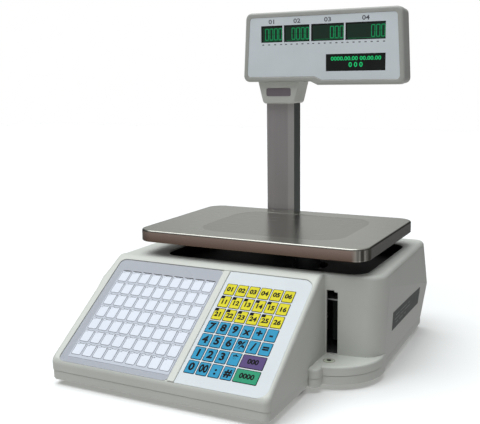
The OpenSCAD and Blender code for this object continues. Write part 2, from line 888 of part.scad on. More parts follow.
// One solid for each display window, seen from the front or from the customer's side
module window_blocks(g, y0, y1) {
    for (s = window_spans)
        slab(head_x0 + s[0] - g, y0, head_x0 + s[1] + g, y1, window_z0 - g, window_z0 + window_h + g);
    slab(head_x0 + low_window[0] - g, y0, head_x0 + low_window[1] + g, y1, low_z0 - g, low_z0 + low_h + g);
}

module head_front_shell() {
    color("whitesmoke")
    difference() {
        head_form(0, head_y0, head_split);
        head_form(wall, head_y0 + head_lip + wall, head_split + 1);
        head_form(panel_in, head_y0 - 1, head_y0 + head_lip);
        window_blocks(0, head_y0, head_split);
        cable_way();
        neck_bores(0);
    }
}

module head_rear_shell() {
    color("whitesmoke")
    difference() {
        head_form(0, head_split, head_y1);
        head_form(wall, head_split - 1, head_y1 - head_lip - wall);
        head_form(panel_in, head_y1 - head_lip, head_y1 + 1);
        window_blocks(0, head_split, head_y1);
        cable_way();
        neck_bores(0);
    }
}

module front_panel() {
    color("lightsteelblue")
    difference() {
        head_form(panel_in + 0.1, head_y0 + head_lip - panel_t, head_y0 + head_lip);
        window_blocks(0, head_y0, head_split);
    }
}

module rear_panel() {
    color("lightsteelblue")
    difference() {
        head_form(panel_in + 0.1, head_y1 - head_lip, head_y1 - head_lip + panel_t);
        window_blocks(0, head_split, head_y1);
    }
}

module front_windows() {
    color([0.05, 0.08, 0.05])
        window_blocks(-0.1, head_y0 + head_lip - 0.4, head_y0 + head_lip + 1.6);
}

module rear_windows() {
    color([0.05, 0.08, 0.05])
        window_blocks(-0.1, head_y1 - head_lip - 1.6, head_y1 - head_lip + 0.4);
}

module board_plate(y0, y1) {
    slab(head_x0 + 92, y0, head_x0 + head_w - 8, y1, head_z0 + 6, head_z1 - 8);
    slab(head_x0 + 12, y0, head_x0 + 92, y1, head_z0 + 48, head_z1 - 8);
}

module front_display_board() {
    color("darkgreen") {
        board_plate(head_y0 + 10, head_y0 + 11.6);
        window_blocks(-1, head_y0 + head_lip + 2, head_y0 + 10);
    }
}

module rear_display_board() {
    color("darkgreen") {
        board_plate(head_y1 - 11.6, head_y1 - 10);
        window_blocks(-1, head_y1 - 10, head_y1 - head_lip - 2);
    }
}

module head_screws() {
    color("darkgray")
    for (x = [head_x0 + 8, head_x0 + head_w - 6])
        for (z = [head_z0 + 14, head_z1 - 14])
            translate([x, head_split + 4, z])
                rotate([90, 0, 0])
                    cylinder(h = 8, r = 1.4);
    color("darkgray")
        neck_bores(0);
}

// Hole that takes the display cable from the neck into the head
module cable_way() {
    rod(column_x, head_split, head_z0 - 1, head_z0 + wall + 1, 6);
}

// ---- Label printer ----
frame_z = seam_z + 12;
frame_t = 2;
deck_under = deck_z - wall;
web_z0 = frame_z + frame_t + 8;
platen_x = slot_x0 + slot_w / 2 + platen_r;
platen_y = bay_y + 27;
shaft_r = 3;
lug_z = web_z0 + label_w + 3;
roll_x = bay_x + 24;
roll_y = platen_y + 96;
pivot_x = bay_x - 16;
pivot_y = platen_y + 34;
head_reach = 36;
takeup_x = bay_x - 8;
takeup_y = roll_y + roll_r + 18;
takeup_r = 14;
gear_z0 = frame_z - 8;
gear_t = 5;
pulley_z0 = frame_z - 15;
pulley_t = 5;
pulley_r = 9;
frame_x0 = bay_x - 36;
frame_x1 = half_w - taper - base_in - 12;
frame_y0 = bay_y + wall + 3;
frame_y1 = takeup_y + 24;

// Gear centres, closing the triangle of platen, idler and pinion
platen_idler = gear_m * (platen_teeth + idler_teeth) / 2;
idler_pinion = gear_m * (idler_teeth + pinion_teeth) / 2;
motor_dx = 18;
motor_dy = 36;
motor_dist = norm([motor_dx, motor_dy]);
idler_turn = acos((platen_idler * platen_idler + motor_dist * motor_dist - idler_pinion * idler_pinion)
    / (2 * platen_idler * motor_dist));
idler_dir = atan2(motor_dy, motor_dx) - idler_turn;
platen_at = [platen_x, platen_y];
idler_at = platen_at + platen_idler * [cos(idler_dir), sin(idler_dir)];
motor_at = platen_at + [motor_dx, motor_dy];

// Involute gear with a 25 degree flank and a tooth on its own X axis
gear_lash = 0.12;
flank = 25;
function inv(a) = tan(a) * 180 / PI - a;
function tooth_side(m, z, r) =
    let (rb = m * z / 2 * cos(flank), a = r <= rb ? 0 : acos(rb / r),
         half = 90 / z - gear_lash / (m * z) * 180 / PI)
    half + inv(flank) - inv(a);
function gear_points(m, z) =
    let (rp = m * z / 2, rr = rp - 1.05 * m, rt = rp + 0.8 * m, rb = max(rp * cos(flank), rr + 0.01),
         radii = [rr, rb, rb + (rt - rb) * 0.35, rb + (rt - rb) * 0.7, rt])
    [for (k = [0:z - 1]) let (mid = 360 * k / z)
        each concat([for (r = radii) r * [cos(mid - tooth_side(m, z, r)), sin(mid - tooth_side(m, z, r))]],
            [for (i = [4:-1:0]) radii[i] * [cos(mid + tooth_side(m, z, radii[i])), sin(mid + tooth_side(m, z, radii[i]))]])];

module gear(at, z, turn, z0, z1) {
    translate([at.x, at.y, z0])
        rotate([0, 0, turn])
            linear_extrude(z1 - z0)
                polygon(gear_points(gear_m, z));
}

// Turns that put a tooth of one gear in a gap of the next
platen_turn = idler_dir;
idler_turn0 = idler_dir + 180 + 180 / idler_teeth;
pinion_dir = atan2(motor_at.y - idler_at.y, motor_at.x - idler_at.x);
idler_phase = (pinion_dir - idler_turn0) * idler_teeth / 360;
pinion_turn = pinion_dir + 180 + (idler_phase - round(idler_phase)) * 360 / pinion_teeth + 180 / pinion_teeth;

module at_frame_posts() {
    for (p = [[frame_x0 + 6, frame_y0 + 6], [frame_x0 + 6, frame_y1 - 6], [frame_x1 - 6, roll_y + roll_r + 24]])
        translate([p.x, p.y, 0])
            children();
}

module printer_frame() {
    color("lightgray")
    difference() {
        union() {
            slab(frame_x0, frame_y0, frame_x1, frame_y1, frame_z, frame_z + frame_t);
            slab(frame_x0, frame_y0, frame_x0 + frame_t, takeup_y, frame_z, lug_z + 2);
            slab(frame_x0, frame_y0, platen_x + 8, pivot_y + 10, lug_z, lug_z + frame_t);
            rod(idler_at.x, idler_at.y, gear_z0 - 1, frame_z, 3);
            rod(takeup_x, takeup_y, frame_z, frame_z + 6, 7);
            rod(roll_x, roll_y, frame_z, frame_z + 4, 12);
        }
        rod(platen_x, platen_y, gear_z0 - 10, lug_z + 10, shaft_r + run_gap);
        rod(motor_at.x, motor_at.y, frame_z - 1, frame_z + 3, 5);
        rod(takeup_x, takeup_y, frame_z - 1, frame_z + 7, 3 + run_gap);
        rod(roll_x, roll_y, frame_z - 1, frame_z + 5, 4 + run_gap);
        rod(pivot_x, pivot_y, frame_z - 1, lug_z + 10, 2.5 + run_gap);
    }
}

table_z0 = frame_z + frame_t + 3;
module turntable() {
    color("dimgray") {
        rod(roll_x, roll_y, frame_z, table_z0, 4);
        rod(roll_x, roll_y, table_z0, web_z0, roll_r + 2);
        rod(roll_x, roll_y, web_z0, web_z0 + 8, core_r - 0.4);
    }
}

module label_roll() {
    color("white")
        tube(roll_x, roll_y, web_z0, web_z0 + label_w, roll_r, core_r);
}

guide_places = [[platen_x - 19, platen_y + 52], [platen_x - 4, platen_y + 52]];
module web_guides() {
    color("silver")
    for (p = guide_places)
        rod(p.x, p.y, frame_z + frame_t, web_z0 + label_w, 2);
}

module platen_shaft() {
    color("silver")
        rod(platen_x, platen_y, pulley_z0, lug_z + 4, shaft_r);
}

module platen_roller() {
    color([0.1, 0.1, 0.1])
        tube(platen_x, platen_y, web_z0, web_z0 + label_w, platen_r, shaft_r);
}

module platen_gear() {
    color("ivory")
    difference() {
        union() {
            gear(platen_at, platen_teeth, platen_turn, gear_z0, gear_z0 + gear_t);
            rod(platen_x, platen_y, pulley_z0, gear_z0 + 1, pulley_r);
        }
        rod(platen_x, platen_y, pulley_z0 - 1, gear_z0 + gear_t + 1, shaft_r);
    }
}

module idler_gear() {
    color("ivory")
    difference() {
        gear(idler_at, idler_teeth, idler_turn0, gear_z0, gear_z0 + gear_t);
        rod(idler_at.x, idler_at.y, gear_z0 - 1, gear_z0 + gear_t + 1, shaft_r + run_gap);
    }
}

motor_r = 17.5;
motor_h = 20;
module stepper_motor() {
    color("gray")
    difference() {
        rod(motor_at.x, motor_at.y, frame_z + frame_t, frame_z + frame_t + motor_h, motor_r);
        rod(motor_at.x, motor_at.y, frame_z, frame_z + frame_t + 12, 1.5 + run_gap);
    }
}

module motor_pinion() {
    color("goldenrod") {
        gear(motor_at, pinion_teeth, pinion_turn, gear_z0, gear_z0 + gear_t);
        rod(motor_at.x, motor_at.y, gear_z0 + 1, frame_z + frame_t + 11, 1.5);
    }
}

module takeup_spool() {
    color("dimgray") {
        rod(takeup_x, takeup_y, pulley_z0, frame_z + 6, 3);
        rod(takeup_x, takeup_y, pulley_z0, pulley_z0 + pulley_t, pulley_r);
        rod(takeup_x, takeup_y, frame_z + 6.3, web_z0, takeup_r + 5);
        rod(takeup_x, takeup_y, web_z0, web_z0 + label_w + 4, takeup_r);
    }
}

belt_t = 1.5;
belt_steps = 32;

// Outline of a belt's face at radius r round both pulleys
function belt_outline(r) =
    let (d = [takeup_x - platen_x, takeup_y - platen_y], a = atan2(d.y, d.x))
    concat([for (k = [0:belt_steps]) let (t = a + 90 + 180 * k / belt_steps)
                [platen_x + r * cos(t), platen_y + r * sin(t)]],
           [for (k = [0:belt_steps]) let (t = a - 90 + 180 * k / belt_steps)
                [takeup_x + r * cos(t), takeup_y + r * sin(t)]]);

module takeup_belt() {
    color([0.15, 0.15, 0.15])
    difference() {
        translate([0, 0, pulley_z0 + 1])
            linear_extrude(3)
                polygon(belt_outline(pulley_r + 0.15 + belt_t));
        translate([0, 0, pulley_z0])
            linear_extrude(5)
                polygon(belt_outline(pulley_r + 0.15));
    }
}

// Print head: an arm on a vertical pivot that presses its edge against the platen
head_tip = [platen_x - platen_r - 0.6, platen_y];
module print_head() {
    d = head_tip - [pivot_x, pivot_y];
    z0 = web_z0 + 2;
    z1 = web_z0 + label_w - 2;
    color("forestgreen") {
        rod(pivot_x, pivot_y, frame_z, lug_z + frame_t, 2.5);
        rod(pivot_x, pivot_y, z0, z1, 6);
        translate([pivot_x, pivot_y, z0])
            rotate([0, 0, atan2(d.y, d.x)])
                translate([0, -5, 1])
                    cube([norm(d) - 3, 5, z1 - z0 - 2]);
        slab(head_tip.x - 7, head_tip.y - 5, head_tip.x, head_tip.y + 5, z0 + 0.5, z1 - 0.5);
    }
}

module head_spring() {
    wire_r = 0.5;
    spring_len = pivot_x + 3.9 - frame_x0 - frame_t;
    color("silver")
    translate([frame_x0 + frame_t, pivot_y - 20, (web_z0 * 2 + label_w) / 2])
        rotate([0, 90, 0])
            difference() {
                cylinder(h = spring_len, r = 4);
                translate([0, 0, -1])
                    cylinder(h = spring_len + 2, r = 4 - 2 * wire_r);
            }
}

// ---- Printer door ----
module printer_door() {
    color("whitesmoke")
    difference() {
        union() {
            intersection() {
                difference() {
                    block(bay_outline(0), 1, seam_z, deck_z, 0);
                    block(bay_outline(wall), 1, seam_z - 1, deck_z - wall, wall);
                }
                door_region(0);
                translate([0, 0, hinge_z])
                    slab(0, door_y0 - 1, body_w, door_y1 + 1, 0, deck_z);
            }
            at_hinge() {
                rotate([-90, 0, 0])
                    cylinder(h = door_len, r = knuckle_r);
                translate([0, -pivot_len, 0])
                    rotate([-90, 0, 0])
                        cylinder(h = door_len + 2 * pivot_len, r = pivot_r);
                translate([0, 0, 0])
                    cube([knuckle_r, door_len, 6]);
            }
        }
        plate_band(plate_t, 0);
    }
}

plate_y0 = bay_y + 63;
plate_len = 143;
plate_z1 = seam_z + 60;
plate_h = 26;
plate_t = 0.8;

// Band of the door's outer skin, thickness t, that the plate lies in
module plate_band(t, g) {
    intersection() {
        difference() {
            block(bay_outline(-1), 1, seam_z, deck_z, -1);
            block(bay_outline(t), 1, seam_z - 1, deck_z + 1, t);
        }
        slab(bay_x, plate_y0 + g, half_w + 2, min(plate_y0 + plate_len, door_y1 - 6) - g,
            plate_z1 - plate_h + g, plate_z1 - g);
    }
}

module name_plate() {
    color("dimgray")
    intersection() {
        plate_band(plate_t, 0.1);
        block(bay_outline(0), 1, seam_z, deck_z, 0);
    }
}

lower_housing();
upper_housing();
platter_well();
rear_plate();
housing_screws();
chassis_plate();
cell_bracket();
load_cell();
cell_screws();
spider();
spider_pads();
platter();
main_board();
power_supply();
keypad_membrane();
function_overlay();
preset_card();
preset_film();
divider_strip();
level_ring();
level_vial();
seal_screw();
foot(0);  // foot_front_left
foot(1);  // foot_front_right
foot(2);  // foot_rear_left
foot(3);  // foot_rear_right
power_inlet();
switch_body();
switch_rocker();
network_socket();
column();
column_screws();
neck_front_shell();
neck_rear_shell();
neck_plate();
head_front_shell();
head_rear_shell();
front_panel();
rear_panel();
front_windows();
rear_windows();
front_display_board();
rear_display_board();
head_screws();
printer_frame();
turntable();
label_roll();
web_guides();
platen_shaft();
platen_roller();
platen_gear();
idler_gear();
stepper_motor();
motor_pinion();
takeup_spool();
takeup_belt();
print_head();
head_spring();
printer_door();
name_plate();
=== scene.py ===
import json
import math

import bmesh
import bpy
from mathutils import Matrix, Vector

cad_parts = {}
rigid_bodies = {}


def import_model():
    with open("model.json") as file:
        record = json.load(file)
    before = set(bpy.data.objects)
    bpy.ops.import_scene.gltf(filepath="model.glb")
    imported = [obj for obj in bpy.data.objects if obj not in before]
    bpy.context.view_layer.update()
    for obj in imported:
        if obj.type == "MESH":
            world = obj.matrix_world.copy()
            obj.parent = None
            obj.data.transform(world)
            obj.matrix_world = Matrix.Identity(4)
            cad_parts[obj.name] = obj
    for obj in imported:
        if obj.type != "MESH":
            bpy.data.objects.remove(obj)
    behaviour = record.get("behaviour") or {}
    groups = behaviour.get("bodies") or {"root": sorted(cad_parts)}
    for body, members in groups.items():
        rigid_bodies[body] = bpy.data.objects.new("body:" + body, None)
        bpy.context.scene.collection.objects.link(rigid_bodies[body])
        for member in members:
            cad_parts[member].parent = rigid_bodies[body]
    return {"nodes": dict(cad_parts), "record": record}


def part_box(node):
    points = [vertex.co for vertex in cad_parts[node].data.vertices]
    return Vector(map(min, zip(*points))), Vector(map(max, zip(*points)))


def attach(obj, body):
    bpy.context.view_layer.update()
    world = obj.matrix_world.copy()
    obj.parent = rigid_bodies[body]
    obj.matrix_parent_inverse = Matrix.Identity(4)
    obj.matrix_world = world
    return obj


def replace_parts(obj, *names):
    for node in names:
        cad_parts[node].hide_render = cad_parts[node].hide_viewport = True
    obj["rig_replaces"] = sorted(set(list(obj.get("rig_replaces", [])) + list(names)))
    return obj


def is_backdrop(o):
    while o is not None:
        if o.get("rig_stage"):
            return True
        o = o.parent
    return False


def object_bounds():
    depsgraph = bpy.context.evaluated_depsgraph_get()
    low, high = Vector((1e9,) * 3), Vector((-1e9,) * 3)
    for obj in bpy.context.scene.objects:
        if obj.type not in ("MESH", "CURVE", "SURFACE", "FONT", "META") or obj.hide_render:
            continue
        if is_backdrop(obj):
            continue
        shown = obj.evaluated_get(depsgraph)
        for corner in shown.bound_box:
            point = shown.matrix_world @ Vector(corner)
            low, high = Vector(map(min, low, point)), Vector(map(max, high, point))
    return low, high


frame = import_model()
cad_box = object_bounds()

# ---- Studio: a camera on the operator's right, a pale floor and soft light ----
# The scale stands on the floor at z = 0. One broad light hangs overhead, leaning in from the
# front left, and the surround gives the rest. The floor is shown but lights nothing itself.
CAMERA_PLACE = (0.4720, -0.9705, 0.3970)
CAMERA_YAW, CAMERA_PITCH, CAMERA_ROLL = (math.radians(a) for a in (27.20, 9.93, -0.76))

camera_data = bpy.data.cameras.new("camera")
camera_data.sensor_width = 36
camera_data.lens = 57.70
camera = bpy.data.objects.new("camera", camera_data)
camera.matrix_world = (
    Matrix.Translation(CAMERA_PLACE)
    @ Matrix.Rotation(CAMERA_YAW, 4, "Z")
    @ Matrix.Rotation(math.pi / 2 - CAMERA_PITCH, 4, "X")
    @ Matrix.Rotation(CAMERA_ROLL, 4, "Z")
)
bpy.context.scene.collection.objects.link(camera)
bpy.context.scene.camera = camera


sky = bpy.data.lights.new("overhead_light", "SUN")
sky.energy, sky.angle = 2.5, math.radians(60)
sky.color = (0.95, 0.99, 1.0)
sky_holder = bpy.data.objects.new("overhead_light", sky)
sky_holder.rotation_euler = (math.radians(8), math.radians(-14), 0)
bpy.context.scene.collection.objects.link(sky_holder)


class Wire:
    """A node's output socket; arithmetic on it adds Math nodes."""

    def __init__(self, tree, socket):
        self.tree, self.socket = tree, socket

    def node(self, kind, settings=None, sockets=None, out=0):
        """Adds a node: its settings first, then values or links for its sockets."""
        made = self.tree.nodes.new(kind)
        for name, value in (settings or {}).items():
            if name == "stops":
                ramp = made.color_ramp.elements
                while len(ramp) < len(value):
                    ramp.new(0.5)
                for stop, (place, shade) in zip(ramp, value):
                    stop.position, stop.color = place, (*shade, 1)
            else:
                setattr(made, name, value)
        for name, value in (sockets or {}).items():
            socket = made.inputs[name]
            if isinstance(value, Wire):
                self.tree.links.new(value.socket, socket)
            else:
                socket.default_value = (*value, 1) if socket.type == "RGBA" else value
        return Wire(self.tree, made.outputs[out])

    def maths(self, operation, a, b=0.0):
        return self.node("ShaderNodeMath", {"operation": operation}, {0: a, 1: b})

    def __add__(self, other):
        return self.maths("ADD", self, other)

    def __mul__(self, other):
        return self.maths("MULTIPLY", self, other)

    def __sub__(self, other):
        return self.maths("SUBTRACT", self, other)

    def __rsub__(self, other):
        return self.maths("SUBTRACT", other, self)

    __radd__ = __add__
    __rmul__ = __mul__

    def axis(self, index):
        return self.node("ShaderNodeSeparateXYZ", sockets={0: self}, out=index)

    def noise(self, scale, detail=3, stretch=(1, 1, 1)):
        """Clouds of the given scale per metre, drawn out where stretch is small."""
        place = self.node("ShaderNodeMapping", sockets={"Vector": self, "Scale": stretch})
        return place.node("ShaderNodeTexNoise",
                          sockets={"Vector": place, "Scale": scale, "Detail": detail})

    def between(self, a, b):
        """Mixes two colours by this value."""
        return self.node("ShaderNodeMix", {"data_type": "RGBA"}, {0: self, 6: a, 7: b}, out=2)

    def contrast(self, low, high):
        """Stretches low...high to 0...1."""
        return self.node("ShaderNodeMapRange", {"clamp": True},
                         {"Value": self, "From Min": low, "From Max": high})

    def drive(self, name):
        self.tree.links.new(self.socket, self.tree.nodes["Principled BSDF"].inputs[name])

    def relief(self, strength, depth):
        """Uses this value as a height; depth is in metres."""
        self.node("ShaderNodeBump", sockets={"Height": self, "Strength": strength,
                                             "Distance": depth}).drive("Normal")


def tint(red, green, blue):
    """Linear colour from 0-255 display values."""
    return tuple((value / 255) ** 2.2 for value in (red, green, blue))


def finish(name, **constants):
    """A new material with constants on its shader; gives it and its object coordinates."""
    material = bpy.data.materials.new(name)
    material.use_nodes = True
    shader = material.node_tree.nodes["Principled BSDF"]
    for key, value in constants.items():
        socket = shader.inputs[key.replace("_", " ")]
        socket.default_value = (*value, 1) if socket.type == "RGBA" else value
    coordinates = material.node_tree.nodes.new("ShaderNodeTexCoord")
    return material, Wire(material.node_tree, coordinates.outputs["Object"])


def shades(place, colour, spread, scale=14, detail=4):
    """Colours a surface in soft clouds of plus and minus spread."""
    cloud = place.noise(scale, detail).contrast(0.35, 0.65)
    cloud.between(tuple(c * (1 - spread) for c in colour),
                  tuple(min(1, c * (1 + spread)) for c in colour)).drive("Base Color")
    return cloud


# The surround is white to the camera. As a light it is dim at the horizon, bright overhead and
# bright below, as a large pale floor would be.
world = bpy.data.worlds.new("surround")
world.use_nodes = True
backdrop = world.node_tree.nodes["Background"]
around = Wire(world.node_tree, world.node_tree.nodes.new("ShaderNodeTexCoord").outputs["Generated"])
upward = around.axis(2)
glow = (upward.contrast(0.35, 0.95) * 0.62 + (upward * -1).contrast(0.02, 0.75) * 1.0
        + around.axis(1).contrast(0.6, 0.85) * (around.axis(0) * -1).contrast(0.0, 0.3) * 0.45
        + (around.axis(1) * -1).contrast(0.3, 0.9) * 0.14 + 0.05)
seen = Wire(world.node_tree, world.node_tree.nodes.new("ShaderNodeLightPath").outputs["Is Camera Ray"])
world.node_tree.links.new((glow * (1 - seen) + seen).socket, backdrop.inputs["Strength"])
backdrop.inputs["Color"].default_value = (1, 1, 1, 1)
bpy.context.scene.world = world
bpy.context.scene.view_settings.view_transform = "Standard"

floor_paint, place = finish("pale_floor", Specular_IOR_Level=0.1)
(0.75 + 0.1 * shades(place, (0.93, 0.93, 0.93), 0.01, 2)).drive("Roughness")
bpy.ops.object.select_all(action="DESELECT")
bpy.ops.mesh.primitive_plane_add(size=9)
floor = bpy.context.object
floor.name = "floor"
floor.data.materials.append(floor_paint)
floor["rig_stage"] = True
floor.visible_diffuse = floor.visible_glossy = False  # the surround gives its bounced light

# ---- Upper housing: one large moulding in warm light grey ABS ----
# It holds the keypads on its slope, a well under the platter, and the printer bay on the right,
# with a ledge in front of the label slot. Screws come up into it from the lower housing.
low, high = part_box("upper_housing")
front = low.y
seam = low.z
bay_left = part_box("level_ring")[0].x - 0.0056
column_low, column_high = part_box("column")
sleeve_back = high.y
back = sleeve_back - 0.013
slope = math.radians(34)
slope_length = 0.195
lip_height = 0.0345
brow_y = front + slope_length * math.cos(slope)
brow_z = lip_height + slope_length * math.sin(slope)
deck = brow_z - 0.0015
shell = 0.0025
bay_front = -0.0500
bay_slant = 0.143
crease_front = 0.131
crease_fall = 0.2186
right_foot, right_crease, right_deck = 0.1945, 0.1990, 0.1955
ON_SLOPE = Matrix.Translation((0, brow_y, brow_z)) @ Matrix.Rotation(slope, 4, "X")


def only(piece):
    """Selects one object and makes it the active one."""
    bpy.ops.object.select_all(action="DESELECT")
    piece.select_set(True)
    bpy.context.view_layer.objects.active = piece


def rounded(points, radii, steps=7):
    """The outline through points with each corner turned by its own radius."""
    outline = []
    for index, radius in enumerate(radii):
        corner = Vector(points[index])
        to_last = (Vector(points[index - 1]) - corner).normalized()
        to_next = (Vector(points[(index + 1) % len(points)]) - corner).normalized()
        half = to_last.angle(to_next) / 2
        centre = corner + (to_last + to_next).normalized() * radius / math.sin(half)
        start = corner + to_last * radius / math.tan(half) - centre
        sweep = (math.pi - 2 * half) * (1 if to_last.cross(to_next) < 0 else -1)
        for step in range(steps + 1):
            turn = Matrix.Rotation(sweep * step / steps, 2)
            outline.append(tuple(centre + turn @ start))
    return outline


def slab_outline(x0, y0, x1, y1, radius, grow=0.0, steps=7):
    """A rounded rectangle, grown on all sides."""
    corners = [(x0 - grow, y0 - grow), (x1 + grow, y0 - grow), (x1 + grow, y1 + grow),
               (x0 - grow, y1 + grow)]
    return rounded(corners, [radius + grow] * 4, steps)


def loft(name, rings):
    """A closed skin through rings of points: a disc whose face is extruded ring by ring."""
    bpy.ops.object.select_all(action="DESELECT")
    bpy.ops.mesh.primitive_circle_add(vertices=len(rings[0]), fill_type="NGON")
    piece = bpy.context.object
    piece.name = piece.data.name = name
    bpy.ops.object.mode_set(mode="EDIT")
    bpy.ops.mesh.select_mode(type="FACE")
    mesh = bmesh.from_edit_mesh(piece.data)
    mesh.verts.ensure_lookup_table()
    for vertex, point in zip(mesh.verts, rings[0]):
        vertex.co = point
    for last, ring in zip(rings, rings[1:]):
        bpy.ops.mesh.extrude_region_move()
        mesh = bmesh.from_edit_mesh(piece.data)
        cap = next(face for face in mesh.faces if face.select)
        places = {tuple(round(c, 6) for c in point): index for index, point in enumerate(last)}
        for vertex in cap.verts:
            nearest = places.get(tuple(round(c, 6) for c in vertex.co))
            if nearest is None:
                nearest = min(range(len(last)), key=lambda k: (Vector(last[k]) - vertex.co).length)
            vertex.co = ring[nearest]
    bpy.ops.mesh.select_all(action="SELECT")
    bpy.ops.mesh.remove_doubles(threshold=1e-6)
    bpy.ops.mesh.normals_make_consistent(inside=False)
    if bmesh.from_edit_mesh(piece.data).calc_volume(signed=True) < 0:
        bpy.ops.mesh.flip_normals()
    bpy.ops.object.mode_set(mode="OBJECT")
    return piece


def prism(name, outline, low, high, across="Z"):
    """An outline drawn out from low to high along one axis."""
    lay = {"Z": lambda p, h: (p[0], p[1], h), "X": lambda p, h: (h, p[0], p[1]),
           "Y": lambda p, h: (p[0], h, p[1])}[across]
    return loft(name, [[lay(point, height) for point in outline] for height in (low, high)])


def block(name, x0, y0, z0, x1, y1, z1):
    return prism(name, [(x0, y0), (x1, y0), (x1, y1), (x0, y1)], z0, z1)


def combine(piece, tool, operation="DIFFERENCE"):
    """Cuts, joins or crosses two closed shapes and puts the tool away."""
    only(piece)
    change = piece.modifiers.new("change", "BOOLEAN")
    change.operation, change.object, change.solver = operation, tool, "EXACT"
    bpy.ops.object.modifier_apply(modifier="change")
    bpy.data.objects.remove(tool)
    return piece


def tidy_faces(piece, angle=0.2):
    """Merges faces that lie in one plane, and points that coincide."""
    only(piece)
    bpy.ops.object.mode_set(mode="EDIT")
    bpy.ops.mesh.select_all(action="SELECT")
    bpy.ops.mesh.remove_doubles(threshold=2e-6)
    bpy.ops.mesh.dissolve_limited(angle_limit=math.radians(angle))
    bpy.ops.object.mode_set(mode="OBJECT")


def round_edges(piece, test, width, segments=4):
    """Rounds the edges for which test(middle, normals of the two faces) holds."""
    only(piece)
    bpy.ops.object.mode_set(mode="EDIT")
    bpy.ops.mesh.select_mode(type="EDGE")
    bpy.ops.mesh.select_all(action="DESELECT")
    mesh = bmesh.from_edit_mesh(piece.data)
    for edge in mesh.edges:
        if len(edge.link_faces) == 2:
            middle = (edge.verts[0].co + edge.verts[1].co) / 2
            edge.select_set(bool(test(middle, *(face.normal for face in edge.link_faces))))
    bmesh.update_edit_mesh(piece.data)
    bpy.ops.mesh.bevel(offset=width, segments=segments, affect="EDGES", clamp_overlap=False)
    bpy.ops.object.mode_set(mode="OBJECT")


def sharp(a, b, degrees=30):
    return a.length > 0 and b.length > 0 and a.angle(b) > math.radians(degrees)


def smooth(piece, degrees=32):
    """Smooth shading broken at sharp edges, with the flats kept flat."""
    only(piece)
    bpy.ops.object.shade_smooth_by_angle(angle=math.radians(degrees))
    weigh = piece.modifiers.new("weigh", "WEIGHTED_NORMAL")
    weigh.keep_sharp = True
    bpy.ops.object.modifier_apply(modifier="weigh")


def dress(piece, material, body, slot, *nodes):
    """Gives a piece its finish, its body and the CAD nodes that it stands for."""
    piece.data.materials.clear()
    piece.data.materials.append(material)
    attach(piece, body)
    if nodes:
        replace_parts(piece, *nodes)
    return piece


def moulded(name, colour, gloss=0.42, grain=0.00006):
    """Injection-moulded plastic with a fine eroded texture and slight clouding."""
    material, place = finish(name, IOR=1.5, Specular_IOR_Level=0.45)
    cloud = shades(place, colour, 0.025)
    (gloss + 0.08 * cloud).drive("Roughness")
    place.noise(1500, 2).relief(0.25, grain)
    return material


grey_abs = moulded("grey_abs", tint(205, 207, 201))


def housing_outline(foot, inset=0.0):
    """Plan of the housing at one level, as x, y; foot is the right-hand wall's front x."""
    rear_in = {right_foot: 0.006, right_crease: 0.0015, right_deck: 0.0065}[foot]
    wall_front = bay_front + bay_slant * (right_crease - bay_left)
    corners = [(-foot + inset, front + inset), (bay_left - inset, front + inset),
               (bay_left - inset, bay_front + inset), (foot - inset, wall_front + inset),
               (foot - rear_in - inset, back - inset), (-foot + rear_in + inset, back - inset)]
    radii = [0.008, 0.008, 0.003 + inset, 0.027 - inset, 0.015 - inset, 0.015 - inset]
    return rounded(corners, radii)


def crease_height(y):
    return crease_front - crease_fall * max(0, y + 0.047)


def housing_form(name, inset, bottom):
    """The housing's outer form: leaning walls under the console's and deck's profile."""
    rings = [[(x, y, bottom) for x, y in housing_outline(right_foot, inset)],
             [(x, y, crease_height(y)) for x, y in housing_outline(right_crease, inset)],
             [(x, y, 0.150) for x, y in housing_outline(right_deck, inset)]]
    form = loft(name, rings)
    drop = inset / math.cos(slope)
    low_end = (front - 0.05, lip_height - 0.05 * math.tan(slope) - drop)
    profile = [(back + 0.05, 0), (back + 0.05, deck - inset)]
    profile += rounded([(back + 0.05, deck - inset), (brow_y + 0.012, deck - inset),
                        (brow_y, brow_z - drop), low_end, (front - 0.05, 0)],
                       [0.001, 0.02, 0.015, 0.001, 0.001], 6)[7:21]
    profile += [low_end, (front - 0.05, 0)]
    return combine(form, prism("profile", profile, -0.3, 0.3, "X"), "INTERSECT")


body_form = housing_form("upper_housing_shell", 0.0, seam + 0.0002)
tidy_faces(body_form)
round_edges(body_form, lambda m, a, b: sharp(a, b, 25) and m.z > lip_height - 0.002 and max(a.z, b.z) > 0.6
            and min(a.z, b.z) < 0.3, 0.0055, 5)

# The ledge in front of the label slot, a part disc with a round boss for the seal screw
ledge_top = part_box("level_ring")[1].z - 0.0008
ledge_radius = 0.070
ledge_centre = Vector((0.1268, -0.0250))
boss_radius = 0.009
boss_centre = Vector((0.1285, -0.1020))


def arc(centre, radius, start, end, steps):
    return [(centre.x + radius * math.cos(math.radians(start + (end - start) * k / steps)),
             centre.y + radius * math.sin(math.radians(start + (end - start) * k / steps)))
            for k in range(steps + 1)]


def ledge_outline(shrink):
    return ([(bay_left - 0.02, ledge_centre.y), (bay_left - 0.02, ledge_centre.y - ledge_radius + shrink)]
            + arc(ledge_centre, ledge_radius - shrink, -97, 12, 28) + [(0.17, ledge_centre.y + 0.012)])


def boss_outline(shrink):
    return ([(bay_left - 0.02, boss_centre.y + 0.012), (bay_left - 0.02, boss_centre.y - 0.002)]
            + arc(boss_centre, boss_radius - shrink, -160, 20, 18)
            + [(boss_centre.x + boss_radius - shrink, boss_centre.y + 0.016)])


for outline in (ledge_outline, boss_outline):
    raised = prism("ledge", outline(0), seam + 0.0002, ledge_top)
    round_edges(raised, lambda m, a, b: m.x > bay_left - 0.01 and sharp(a, b, 50)
                and m.z > ledge_top - 0.001, 0.003, 4)
    combine(body_form, raised, "UNION")

